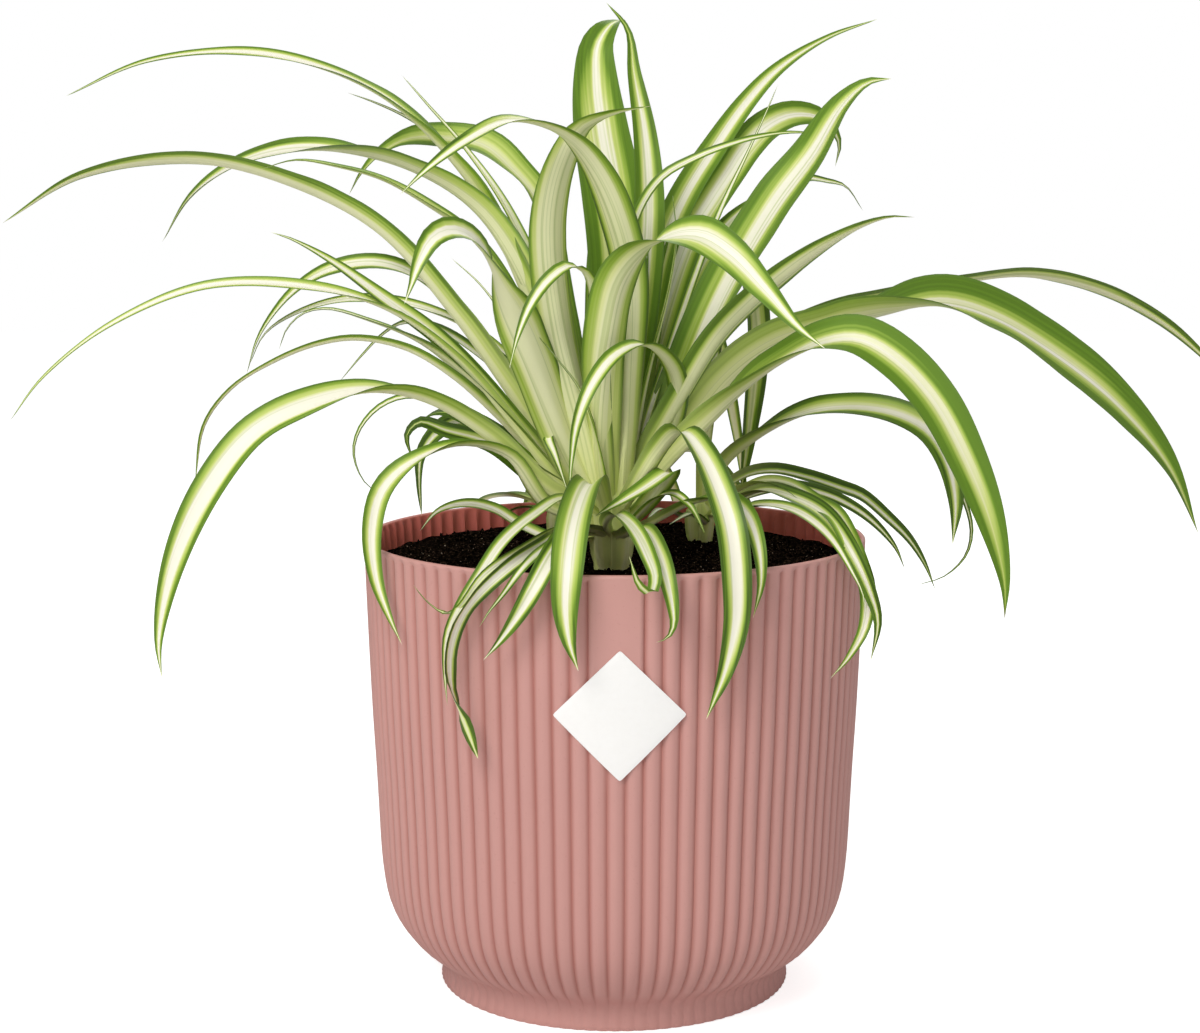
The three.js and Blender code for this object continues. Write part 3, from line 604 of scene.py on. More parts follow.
# From the keel to the margins: upper faces, then undersides
leafColours = {
    "upper": [(0.0, (248, 246, 228)), (0.16, (234, 236, 188)), (0.36, (208, 220, 128)),
              (0.62, (166, 192, 80)), (0.86, (126, 160, 50)), (1.0, (106, 144, 36))],
    "under": [(0.0, (234, 236, 190)), (0.3, (222, 228, 158)), (0.55, (194, 210, 112)),
              (0.82, (150, 180, 62)), (1.0, (118, 154, 38))],
    "upperDark": (66, 94, 20),
    "underDark": (76, 104, 26),
    "upperLine": (176, 192, 104),
    "underLine": (164, 182, 98),
    "edge": (92, 120, 66),
    # the pale foot of each leaf: partly the leaves' own paler bases, partly painted light that lifts
    # the shade deep in the rosette
    "base": (240, 246, 160),
    "brown": (146, 96, 54),
    "darkBrown": (92, 54, 28),
}

# How a leaf is striped: the share of its half width that is cream, how far the cream fades into
# green, and how dark its margins are. Leaves not named here draw the three by chance.
leafLooks = {
    "bigRight": (0.04, 0.60, 0.15),
    "bigFarRight": (0.04, 0.55, 0.25),
    "thinFarRight": (0.30, 0.40, 0.6),
    "frontDroop": (0.26, 0.60, 0.6),
    "rightFrontFall": (0.26, 0.52, 0.8),
    "topBroad": (0.22, 0.42, 0.3),
    "topTall": (0.16, 0.50, 0.35),
    "topRight": (0.14, 0.62, 0.2),
    "broadRight": (0.26, 0.50, 0.25),
    "bentRight": (0.22, 0.55, 0.3),
    "twistArch": (0.46, 0.44, 0.6),
    "frontArch": (0.36, 0.55, 0.3),
    "littleArch": (0.34, 0.40, 0.4),
    "overStem": (0.28, 0.45, 0.45),
    "lowBigArch": (0.36, 0.50, 0.3),
    "highLeftArch": (0.3, 0.5, 0.3),
    "lowFarLeft": (0.2, 0.8, 0.15),
    "narrowHook": (0.1, 0.3, 0.9),
    "narrowDroop": (0.2, 0.3, 0.9),
    "shortArch": (0.04, 0.3, 1.0),
    "farLeftArch": (0.46, 0.36, 0.5),
    "leftArch": (0.44, 0.40, 0.4),
    "leftFold": (0.44, 0.44, 0.5),
    "limeArch": (0.04, 0.85, 0.3),
    "limeLeft": (0.08, 0.80, 0.2),
    "paleUpright": (0.55, 0.50, 0.3),
    "twistDroop": (0.34, 0.30, 0.8),
    "slantDroop": (0.40, 0.30, 0.7),
    "overRimLeft": (0.3, 0.6, 0.3),
    "longRight": (0.16, 0.3, 0.9),
    "thinRight": (0.16, 0.3, 0.9),
    "longCurlRight": (0.1, 0.3, 0.8),
    "rimRight": (0.28, 0.34, 0.7),
    "hangBehind": (0.30, 0.40, 0.8),
    "sideRight": (0.18, 0.50, 0.7),
}

driedTips = {"bigRight": 0.10, "rimRight": 0.06}


def leaf(name, width, taper, rolls, *points):
    return {"name": name, "width": width, "taper": taper, "rolls": rolls, "points": points}


# Each leaf's width, how late it tapers, its rolls in degrees from base to tip, and the points it
# passes, each as [across, up, toward]: across and up as seen from the camera on the plane y = 0, and
# how far it comes towards the camera from that plane.

mainLeaves = [
    leaf("highLeftArch", 24, 2, [-55, -55, -40, 0, 40, 45],
        [-24, 268, 0], [-44, 321, -16], [-63, 356, -30], [-100, 391, -52], [-150, 408, -78],
        [-200, 405, -100], [-236, 390, -112]),
    leaf("farLeftArch", 23, 4, [-30, -32, -30, -26, -24],
        [-22, 228, 12], [-46, 266, 0], [-68, 297, -10], [-101, 333.5, -24], [-141, 354, -38],
        [-183, 363, -52], [-231, 356, -64], [-265, 336, -72]),
    leaf("leftArch", 23, 8, [-55, -60, -58, -20, 30, 40],
        [-20, 262, 0], [-42, 318, -14], [-60, 343.6, -24], [-89.4, 361.1, -38], [-130.4, 368.7, -56],
        [-162.2, 362.1, -68], [-183.2, 347.7, -76], [-196.2, 327.7, -80]),
    leaf("limeLeft", 18, 5, [-30, -25, -10, 0, 10],
        [-24, 258, 8], [-48, 313, 2], [-63, 332, -2], [-80, 344, -6], [-100, 355, -10],
        [-120, 360.5, -14], [-138, 363, -18], [-153, 359, -20]),
    leaf("slantLeft", 14, 4, [0, 20, 45, 45],
        [-22, 225, 20], [-40.6, 247.3, 24], [-60.6, 269.9, 26], [-80.6, 288.9, 28],
        [-101.6, 304.4, 30], [-121.6, 318.9, 31], [-139.6, 328.9, 32], [-149.1, 332.1, 32]),
    leaf("thinLeft", 9, 2.6, [30, 40, 40],
        [-20, 270, -12], [-45, 325, -32], [-62, 356, -46], [-76, 372, -56], [-90, 381.4, -64],
        [-104, 387.7, -70], [-115, 391.6, -74]),
    leaf("spikeLeft", 8, 2.6, [30, 40, 40],
        [-20, 280, -14], [-45, 340, -36], [-65, 369, -50], [-80, 386, -58], [-91.5, 399, -64]),
    leaf("limeArch", 20, 9, [-40, -40, -20, 0, 45, 60],
        [-14, 260, -6], [-26, 320, -26], [-33.4, 347.8, -38], [-44.4, 360.8, -48], [-56.4, 370.3, -58],
        [-72, 373, -66], [-89.4, 372.6, -74], [-101.4, 366.1, -78], [-109.4, 357.6, -80],
        [-114.9, 348.1, -81]),
    leaf("lowFarLeft", 11, 2.6, [-30, -30, -8, 40, 45, 45],
        [-24, 222, 22], [-46, 251, 26], [-70, 279, 30], [-100, 300, 33], [-140, 309.5, 36],
        [-180, 308.5, 38], [-220, 292, 38], [-250, 269, 36], [-265, 250, 35]),
    leaf("secondLeft", 14, 3, [-55, -60, -60, 0, 30],
        [-25, 222, 4], [-48, 251, 0], [-66, 270.5, -2], [-86, 285.5, -4], [-108, 294.5, -6],
        [-125, 299, -8], [-135.5, 297, -9], [-143, 290, -10], [-146.5, 281, -10]),
    leaf("hookLeft", 14, 6, [-30, -25, -10, 45, 50],
        [-26, 250, -10], [-50, 279, -20], [-70, 300, -27], [-86, 313.5, -33], [-103, 319, -38],
        [-124, 316, -43], [-138, 308, -47], [-148.5, 297, -50], [-156, 285, -52], [-161, 270, -53]),
    leaf("underHookLeft", 10, 6, [-30, -30, 0, 30, 40],
        [-28, 255, -6], [-50, 281, -18], [-62, 290, -24], [-76, 297, -31], [-94, 302, -39],
        [-118, 303, -47], [-140, 296.5, -54], [-153, 287.5, -57], [-159.5, 274.5, -58]),
    leaf("longThinLeft", 14, 1.6, [-30, -30, -30, -30, -30],
        [-24, 224, 14], [-50, 251.5, 15], [-70, 269.5, 16], [-90, 281.5, 16], [-112, 286, 16],
        [-130, 283.5, 15], [-150, 275.5, 14], [-168, 264, 12], [-180, 248, 10], [-184.5, 223, 8]),
    leaf("backThinLeft", 9, 6, [-30, -30, 10, 50],
        [-30, 250, -16], [-58, 278, -34], [-78, 291, -46], [-92, 293, -54], [-101, 288, -59],
        [-110, 279, -62], [-120.5, 267, -64]),
    leaf("lowBigArch", 17, 7, [-40, -35, -10, 45, 60, 60],
        [-30, 220.5, 32], [-56, 244.7, 44], [-80, 259.7, 55], [-104, 264.7, 65], [-130, 259.2, 75],
        [-158, 245.5, 84], [-180, 218.5, 89], [-195, 186, 91], [-202.5, 152, 91], [-201.5, 134, 90]),
    leaf("curlLeft", 6, 4, [0, 30, 40],
        [-35, 232, 24], [-60, 252, 28], [-80, 259.5, 30], [-93, 260.5, 31], [-104, 255.5, 32],
        [-112, 246, 33], [-114.5, 236, 33], [-111, 224.5, 33], [-104, 217.5, 33]),
    leaf("overRimLeft", 11, 7, [-50, -40, 0, 60, 70],
        [-30, 212, 34], [-47, 235, 42], [-67, 240.5, 49], [-88, 233, 55], [-102, 220, 58],
        [-107, 202, 60], [-105.5, 180, 64], [-99.6, 162, 70], [-94.4, 150, 74]),
    leaf("narrowHook", 11, 5, [40, 60, 70, 70],
        [-32, 222, 12], [-54, 240, 14], [-74, 246, 16], [-85.5, 249.5, 17], [-91, 244, 18],
        [-90, 237, 18], [-88, 232, 18]),
    leaf("narrowDroop", 17, 3, [40, 65, 80, 80],
        [-30, 224, 0], [-48, 240, -2], [-65, 250, -4], [-73, 248.5, -5], [-80, 243, -6],
        [-85, 235, -7], [-86, 224, -8], [-85, 208, -8]),
    leaf("shortArch", 12, 7, [50, 60, 60],
        [-28, 222, 6], [-44, 237, 5], [-57, 247, 4], [-68, 252.5, 3], [-77, 253.8, 2], [-84, 251, 1]),
    leaf("inPotLeft", 9, 5, [0, 30, 40],
        [-22, 196, 26], [-40, 203, 26], [-53, 211, 24], [-66, 213.5, 22], [-78, 210, 20],
        [-86, 201, 18]),
    leaf("paleDroop", 7.5, 5, [0, 20, 30],
        [-21, 216, 44], [-35, 209, 68], [-50, 196, 90], [-60, 181, 101], [-68, 168, 103],
        [-74, 155, 100], [-75.5, 140, 98], [-74.5, 122, 96]),
    leaf("twistDroop", 7.5, 30,
        [0, -10, -20, -28, -28, -5, 25, 50, 62, 68, 70, 72, 75, 82, 115, 190, 215],
        [-18, 203, 40], [-32, 195, 82], [-47, 185, 107], [-60, 173, 110], [-69, 160, 105],
        [-73, 146, 102], [-72.5, 131, 100], [-68, 118, 102], [-61, 98, 104]),
    leaf("smallCurl", 6, 4, [0, 40, 60],
        [-20, 202, 40], [-40, 193, 80], [-58, 181, 106], [-70, 166, 102], [-77, 165, 95],
        [-84, 170.5, 92], [-89, 177, 90]),
    leaf("smallDroop", 7, 4, [0, 0, 40],
        [-16, 200, 46], [-30, 194, 86], [-41, 184, 110], [-50, 172, 110], [-56, 164.5, 108],
        [-60, 158, 107]),
    leaf("slantDroop", 11, 7, [0, 10, 30],
        [-12, 203, 46], [-20, 201, 76], [-28, 190, 104], [-35, 177, 114], [-43, 163, 113],
        [-51, 151.5, 110], [-58.4, 143, 108]),
    leaf("frontDroop", 16, 9, [0, 0, 0],
        [-6, 214, 30], [-10, 224, 54], [-15, 216, 84], [-19, 200, 108], [-21, 182, 119],
        [-21.7, 166, 121], [-20, 151, 121], [-16, 138, 120]),
    leaf("foldedShort", 11, 7, [0, 0, 0],
        [13, 212, 28], [23, 225, 38], [24, 228, 43], [12, 220, 54], [-9, 207.5, 68]),
    leaf("frontCurl", 9, 7, [0, 0, 0],
        [-4, 204, 39], [0, 209, 60], [8, 203, 89], [14.5, 191, 111.5], [18, 180, 122.5],
        [16, 173.5, 127], [11, 177, 129], [6.5, 190, 129]),
    leaf("frontHook", 10.5, 7, [0, 0, 0],
        [5, 200, 44], [12, 203, 72], [18.3, 194, 101], [22.8, 182, 116], [25.8, 168, 120],
        [26.3, 159, 121], [23.8, 153.5, 121], [18.5, 151, 120]),
    leaf("inPotRight", 7, 4, [0, 20, 40],
        [8, 206, 30], [18, 216, 34], [26, 218, 42], [33, 213, 50], [37, 206.5, 55], [40, 199.5, 60]),
    leaf("rightFrontFall", 14.5, 9, [-30, -10, 10, 20],
        [9, 220, 38], [20, 238, 48], [29, 246.5, 62], [38, 237, 80], [46, 220, 96], [51.5, 202, 107],
        [54, 180, 110], [54, 160, 109], [49.5, 138, 109], [41, 116, 110]),
    leaf("rightSideFall", 9, 7, [-20, 0, 30, 40],
        [18, 206, 26], [36, 215, 50], [50, 216, 72], [59, 208, 89], [64, 193, 101], [65, 178, 103],
        [61.5, 162, 103]),
    leaf("bigRight", 22.5, 7, [-45, -45, 20, 65, 65, 60],
        [18, 226, 20], [36, 246, 28], [54, 265, 34], [72, 278, 40], [90, 286, 46], [106.2, 286.8, 52],
        [123.2, 277.3, 58], [140.2, 259.3, 62], [154.2, 234.3, 64], [165.7, 206.3, 64],
        [172.7, 178.3, 62], [173.2, 161.3, 61]),
    leaf("bigFarRight", 33, 7, [-40, -40, -25, 45, 60, 60],
        [14, 226, 14], [32, 249, 10], [48, 270, 4], [66, 284, -2], [90, 292.5, -10], [116, 300, -18],
        [140.8, 303.9, -26], [166.8, 296.4, -35], [194.2, 279.5, -44], [221.2, 257.5, -52],
        [244.2, 230, -58], [257.7, 200, -62]),
    leaf("thinFarRight", 14.5, 7, [-20, -20, -12, -25, -34],
        [16, 230, 4], [36, 258, -10], [58, 282, -24], [88, 298.6, -42], [120, 306.4, -60],
        [150, 311.4, -76], [180, 313.9, -92], [212, 306.9, -107], [240, 292.4, -119],
        [262, 273.4, -127], [272, 261.4, -130]),
    leaf("frontArch", 24, 5, [-55, -60, -20, 50, 60],
        [-6, 240, 30], [-4, 285, 44], [3, 314, 56], [17, 329, 66], [35, 331.5, 77], [50, 323, 87],
        [65, 307.5, 97], [80, 291, 106], [92, 281.5, 112]),
    leaf("overStem", 12, 4, [-30, -20, 10, 30],
        [14, 222, 9], [27, 254, 18], [27, 268, 24], [21, 279, 36], [12, 284, 46], [0, 279, 56],
        [-10, 266, 63], [-16.5, 249, 66], [-19, 232, 66], [-20, 216, 66]),
    leaf("foldedLeft", 8, 4, [0, 0, 0],
        [-12, 222, 16], [-24, 240, 26], [-29, 243, 32], [-26, 235, 38], [-20, 217, 42]),
    leaf("littleArch", 12, 5, [-20, -20, 10, 40],
        [-6, 250, 34], [-8, 295, 46], [-12, 314, 52], [-19, 318, 56], [-28, 312.5, 60], [-36, 302, 63],
        [-42, 288, 65], [-46, 273, 66]),
    leaf("frontSpike", 8, 2.6, [20, 40, 40],
        [-6, 235, 34], [-15, 263, 40], [-25, 277, 42], [-34, 288, 44]),
    leaf("paleUpright", 22, 7, [0, 0, 0],
        [-12, 240, 26], [-24, 290, 34], [-28, 325, 38], [-27, 345, 40], [-22, 363, 42],
        [-14, 376.5, 44], [0, 383, 46], [16, 386, 48]),
    leaf("twistArch", 20, 5, [-50, -50, -30, 10, 30],
        [5, 260, 26], [6, 315, 34], [0, 340, 42], [-8, 358, 50], [-18, 371, 58], [-30, 378, 67],
        [-46, 380, 78], [-64, 371.5, 89], [-80, 360, 99], [-93, 348, 107]),
    leaf("topBroad", 32, 6, [0, 0, 0],
        [-1.2, 260, 0], [1.8, 320, -6], [-1.2, 350, -9], [-5.7, 375, -12], [-8.2, 397, -15],
        [-7.7, 411, -18], [-3, 419.5, -24], [2, 422, -36], [5, 421, -46]),
    leaf("topTall", 19, 4, [0, 0, 0],
        [7, 260, 2], [13.7, 320, 0], [14.7, 350, -2], [12.7, 375, -4], [8.2, 400, -6], [5.5, 418, -8],
        [-3.7, 429.4, -10]),
    leaf("topRight", 20, 3, [30, 35, 35, 30],
        [10, 260, -8], [20, 322, -28], [29.5, 346.5, -38], [43.5, 369, -50], [57, 388, -61],
        [70.5, 402, -71], [91, 414.8, -84], [112, 422.4, -96]),
    leaf("bentRight", 19, 9, [30, 40, 30, 85],
        [14, 270, -10], [31, 328, -32], [42.5, 347.5, -42], [49.5, 358, -49], [56.5, 368.5, -55],
        [64.5, 377, -61], [76.5, 382.5, -69], [89.5, 380.5, -77], [96.5, 370.5, -82], [95, 360, -84]),
    leaf("broadRight", 27, 9, [40, 50, 50, 40],
        [22.6, 250, 4], [40.6, 295, 8], [54.6, 322, 12], [69.6, 346, 16], [84.7, 366, 20],
        [97.2, 386.2, 24], [108.2, 395.7, 27], [118.8, 397.4, 30]),
    leaf("wireRight", 7, 5, [20, 40, 50],
        [2, 280, 12], [8, 335, 16], [19.5, 355, 18], [34.7, 364, 18], [49, 369.5, 17], [62, 373, 15],
        [78, 374.8, 12], [96, 372.5, 8]),
    leaf("backThinRight", 10, 7, [20, 30, 45],
        [40, 300, -34], [65, 343, -52], [80, 355, -61], [91.7, 354, -67], [100, 351.5, -71],
        [107.5, 341, -74]),
    leaf("spikeRight", 6, 2.6, [20, 30, 30],
        [27, 290, -9], [45, 340, -26], [57, 365.7, -35], [64.5, 382, -41], [70, 395, -45]),
    leaf("darkRight", 14, 7, [0, 20, 30],
        [28, 300, -26], [46, 332, -38], [60, 345, -46], [74, 352, -52]),
    leaf("slantRight", 18, 7, [-35, -38, -35, -10],
        [13, 232, 14], [29, 261, 20], [45, 287, 26], [59, 301.5, 31], [75, 315, 36], [89, 325, 40],
        [106, 334.5, 44], [119, 338.7, 47], [130, 338.5, 49]),
    leaf("leftFold", 24, 5, [-70, -75, -60, 40, 50],
        [-20, 236, 28], [-36, 278, 42], [-48, 306, 54], [-54, 321, 61], [-62, 331, 67],
        [-71, 333.5, 73], [-79, 329.5, 78], [-85, 319, 82], [-88.5, 309, 85], [-91.5, 301, 86]),
    leaf("tinySpike", 5, 2.6, [20, 40, 40],
        [-24, 250, 10], [-44, 289, 8], [-58, 309, 6], [-71, 321, 4]),
    leaf("innerSpike", 10, 4, [0, 0, 0],
        [12, 260, 14], [24, 310, 16], [26.5, 330, 16], [25, 348, 15]),
]

rightLeaves = [
    leaf("rimRight", 10, 7, [20, 30, 40, 50],
        [50, 214, -40], [64, 220, -22], [78, 217, 4], [93, 208.3, 34], [105, 191.3, 60],
        [113, 174.3, 64], [117, 160.3, 62], [114, 142.3, 60]),
    leaf("behindRim", 10, 7, [10, 30, 30],
        [50, 217, -46], [62, 223, -32], [75, 222, -12], [88, 214, 14], [98, 207.5, 38], [107, 190, 60],
        [112, 176, 57], [111, 158, 57], [104, 144, 63], [96, 134.5, 71]),
    leaf("lowRim", 7, 4, [20, 30, 30],
        [50, 207, -30], [60, 212.5, -12], [70, 213, 4], [80, 210.5, 22], [90, 204, 42], [98, 195, 60],
        [104, 185, 70], [110, 173, 72], [111, 164, 72]),
    leaf("longRight", 9, 6, [30, 50, 60],
        [46, 218, -56], [58, 226.5, -58], [70, 228.5, -60], [85, 225.5, -62], [100, 220.5, -64],
        [109, 217, -65], [120.2, 207.6, -66], [130.2, 197.6, -66], [137.2, 186.6, -66],
        [142.2, 174.6, -66]),
    leaf("thinRight", 8, 5, [30, 50, 60],
        [52, 214, -50], [75, 221, -50], [92, 218, -50], [105, 212, -50], [115, 204.5, -50],
        [124, 194, -50], [128.5, 184, -50]),
    leaf("sideRight", 15, 9, [-10, 0, 40, 50, 50],
        [47, 231, -50], [62, 244, -40], [76, 252, -30], [90, 256, -20], [110, 256.5, -8],
        [126.8, 252.5, 0], [138.8, 245, 6], [146.8, 231.5, 10], [150.3, 214, 12], [149.3, 195, 12]),
    leaf("longCurlRight", 5, 4, [0, 30, 50],
        [50, 232, -54], [80, 252, -38], [105, 255, -26], [120, 251.5, -18], [134, 243.5, -12],
        [146, 230, -8], [154, 215, -6], [157.5, 201, -5], [155, 190, -5], [146, 181, -5],
        [134, 177, -5]),
    leaf("hangBehind", 15, 7, [0, 0, 0],
        [41, 250, -66], [45, 296, -74], [51, 314, -78], [58, 312, -81], [62, 296, -83],
        [61.5, 270, -84], [59, 245, -84], [55, 212, -82]),
    leaf("underLeft", 6, 4, [0, 0, 0],
        [30, 208, -34], [20, 211, -14], [12, 203, 4]),
    leaf("underFront", 6, 4, [0, 0, 0],
        [40, 205, -40], [34, 209, -22], [24, 204, -2]),
]

backLeaves = [
    leaf("backRim", 8, 4, [0, 0, 0],
        [-38, 216, -70], [-50, 217.5, -98], [-60, 213, -128], [-70, 198, -150], [-78, 176, -164]),
    leaf("backRimShort", 6, 4, [0, 0, 0],
        [-36, 212, -62], [-44, 211, -74], [-50, 206, -84]),
    leaf("backTall", 15, 4, [0, 0, 0],
        [-6, 262, -70], [0, 312, -98], [6, 326, -134], [10, 305, -176], [12, 262, -206],
        [12, 224, -222]),
    leaf("backLeftTall", 14, 4, [0, 0, 0],
        [-22, 258, -68], [-26, 296, -96], [-29, 304, -130], [-32, 284, -168], [-34, 240, -196],
        [-36, 190, -210]),
    leaf("backRightTall", 14, 4, [0, 0, 0],
        [8, 258, -66], [20, 300, -92], [32, 310, -124], [44, 286, -160], [54, 242, -188],
        [60, 196, -204]),
    leaf("backLow", 13, 4, [0, 0, 0],
        [-10, 234, -76], [-6, 256, -112], [-4, 250, -152], [-2, 214, -186], [0, 160, -204],
        [2, 110, -210]),
    leaf("backLeftLow", 12, 4, [0, 0, 0],
        [-22, 226, -72], [-28, 238, -104], [-34, 224, -140], [-40, 186, -166], [-44, 136, -176]),
    leaf("backRightLow", 12, 4, [0, 0, 0],
        [14, 226, -72], [32, 238, -104], [52, 222, -140], [70, 180, -164], [82, 130, -174]),
    leaf("backFan", 9, 4, [0, 0, 0],
        [2, 226, -74], [12, 238, -106], [24, 224, -140], [34, 186, -166], [40, 140, -176]),
    leaf("backFanLeft", 9, 4, [0, 0, 0],
        [-18, 222, -74], [-22, 232, -104], [-26, 214, -138], [-30, 172, -160], [-32, 126, -168]),
    leaf("backShort", 8, 4, [0, 0, 0],
        [-8, 218, -70], [2, 224, -92], [12, 217, -118], [20, 190, -134]),
    leaf("backUpright", 12, 4, [0, 0, 0],
        [-10, 270, -58], [-8, 330, -66], [-2, 362, -74], [6, 374, -84]),
]


def leafStripes(name, isUnderside):
    side = "under" if isUnderside else "upper"
    material, tree, shader = newMaterial(name)
    uv = newNode(tree, "ShaderNodeSeparateXYZ", {"Vector": newNode(tree, "ShaderNodeUVMap").outputs[0]})
    look = newNode(tree, "ShaderNodeSeparateColor", {"Color": stored(tree, "look", "Color")})
    stripe, spread, dark = look.outputs[0], look.outputs[1], look.outputs[2]
    dry, seed, lines = stored(tree, "dry"), stored(tree, "seed"), stored(tree, "lines")
    across, along = uv.outputs["X"], uv.outputs["Y"]
    fromMiddle = calc(tree, "SUBTRACT", across, 0.5)
    fromKeel = calc(tree, "ABSOLUTE", calc(tree, "MULTIPLY", fromMiddle, 2.0))

    def streaks(often, stretch, shift):  # lengthwise streaks, as wide at the tip as in the middle
        place = newNode(tree, "ShaderNodeCombineXYZ",
                        {"X": calc(tree, "MULTIPLY", calc(tree, "MULTIPLY", fromMiddle, lines), often),
                         "Y": calc(tree, "MULTIPLY", along, stretch),
                         "Z": calc(tree, "ADD", seed, shift)}).outputs[0]
        return noiseOn(tree, place, 1.0, 1, 0.5)

    broad, fine, thin = streaks(0.3, 1.1, 0.0), streaks(0.8, 1.3, 20.0), streaks(1.2, 1.0, 40.0)
    wander = calc(tree, "MULTIPLY_ADD", broad, 0.5, -0.25)
    tipPinch = ease(tree, along, 0.72, 1.0, 0.0, 0.25)
    place = calc(tree, "ADD", calc(tree, "ADD", fromKeel, wander), tipPinch)
    if isUnderside:
        stripe = calc(tree, "MAXIMUM", stripe, 0.3)
    fade = calc(tree, "DIVIDE", calc(tree, "SUBTRACT", place, stripe), spread)
    fade = calc(tree, "ADD", fade, calc(tree, "MULTIPLY_ADD", fine, 0.7, -0.35))
    colour = rampOf(tree, fade, leafColours[side])
    inMargin = calc(tree, "MULTIPLY", ease(tree, fade, 0.7, 1.15),
                    calc(tree, "MULTIPLY", dark, ease(tree, thin, 0.3, 0.7, 0.4, 1.6)))
    colour = blendColours(tree, inMargin, colour, linear(leafColours[side + "Dark"]))
    line = calc(tree, "MULTIPLY", ease(tree, thin, 0.5, 0.7, 0.0, 0.5),
                ease(tree, fade, 0.5, 0.9, 1.0, 0.0))
    colour = blendColours(tree, line, colour, linear(leafColours[side + "Line"]))
    colour = blendColours(tree, ease(tree, fromKeel, 0.86, 1.0, 0.0, 0.35), colour,
                          linear(leafColours["edge"]))
    # partly the leaves' own pale bases, partly painted light against the shade deep in the rosette
    colour = blendColours(tree, ease(tree, along, 0.04, 0.42, 0.75, 0.0), colour,
                          linear(leafColours["base"]))

    dryStart = calc(tree, "SUBTRACT", 1.02, calc(tree, "MULTIPLY", dry, 0.5))
    ragged = calc(tree, "MULTIPLY_ADD", broad, 0.06, calc(tree, "SUBTRACT", along, dryStart))
    dryShare = ease(tree, ragged, 0.03, 0.07)
    dryColour = blendColours(tree, fine, linear(leafColours["brown"]),
                             linear(leafColours["darkBrown"]))
    colour = blendColours(tree, dryShare, colour, dryColour)
    tree.links.new(colour, shader.inputs["Base Color"])
    tree.links.new(ease(tree, broad, 0.3, 0.7, 0.38, 0.52), shader.inputs["Roughness"])
    shader.inputs["Specular IOR Level"].default_value = 0.3
    tree.links.new(bumpFrom(tree, fine, 0.25, 0.0002), shader.inputs["Normal"])
    return material


def fromCamera(point):  # a leaf point as the camera sees it, to a place in millimetres
    across, up, toward = point
    eye = Vector(view["place"])
    reach = (toward + eye.y) / eye.y
    return Vector((eye.x + (across - eye.x) * reach, -toward, eye.z + (up - eye.z) * reach))


def leafLine(points, crown):
    footDepth, footOut, collarOut = blade["sheath"]
    share, least, most = blade["collar"]
    places = [fromCamera(p) for p in points]
    collarHeight = min(max(share * (places[0].z - soil["middleHeight"]), least), most)
    middle = Vector((crown[0], crown[1], 0))
    outward = Vector((places[0].x - middle.x, places[0].y - middle.y, 0)).normalized()
    foot = middle + outward * footOut + Vector((0, 0, soil["middleHeight"] - footDepth))
    collar = middle + outward * collarOut + Vector((0, 0, soil["middleHeight"] + collarHeight))
    return throughPoints([foot, collar, *places], 24)


def evenly(line, count):  # count + 1 places at even distances, each with its direction
    gone = [0.0]
    for here, after in zip(line, line[1:]):
        gone.append(gone[-1] + (after - here).length)
    places, span = [], 0
    for i in range(count + 1):
        wanted = gone[-1] * i / count
        while span < len(line) - 2 and gone[span + 1] < wanted:
            span += 1
        here, after = line[span], line[span + 1]
        share = (wanted - gone[span]) / max(gone[span + 1] - gone[span], 1e-6)
        places.append((here.lerp(after, share), (after - here).normalized()))
    return places, gone[-1]


def rollAt(rolls, t):  # the rolls are spread evenly along the leaf, and each eases into the next
    place = t * (len(rolls) - 1)
    before = min(int(place), len(rolls) - 2)
    return math.radians(rolls[before] + (rolls[before + 1] - rolls[before]) * smooth(place - before))


def halfWidthAt(form, t):
    base, (slimShare, slimEnd) = blade["baseWidth"], blade["slimmest"]
    widening = base + (1 - base) * smooth(t / blade["fullWidthAt"])
    tapered = form["width"] / 2 * widening * (1 - t ** form["taper"]) ** blade["taperRoot"]
    return max(tapered, blade["leastHalfWidth"], slimShare * form["width"] * (1 - t ** slimEnd))


def sectionPoint(x, isLower, half, t, wave):  # x from -1 to 1: how far aside and up of the leaf's line
    atBase, atTip, openedAt = blade["fold"]
    fold = math.radians(atBase + (atTip - atBase) * smooth(t / openedAt))
    keelMiddle = blade["keelRounding"] + blade["keelDrop"]
    rounded = math.sqrt(x * x + blade["keelRounding"] ** 2) - keelMiddle
    rise = rounded * half * math.sin(fold) + wave * blade["edgeWave"] * half * 2 * x * x
    edge = blade["edgeThickness"]
    thick = (edge + (blade["keelThickness"] - edge) * (1 - x * x)) * (1 - blade["tipThinning"] * t)
    return x * half * math.cos(fold), rise - (thick if isLower else 0) + thick / 2


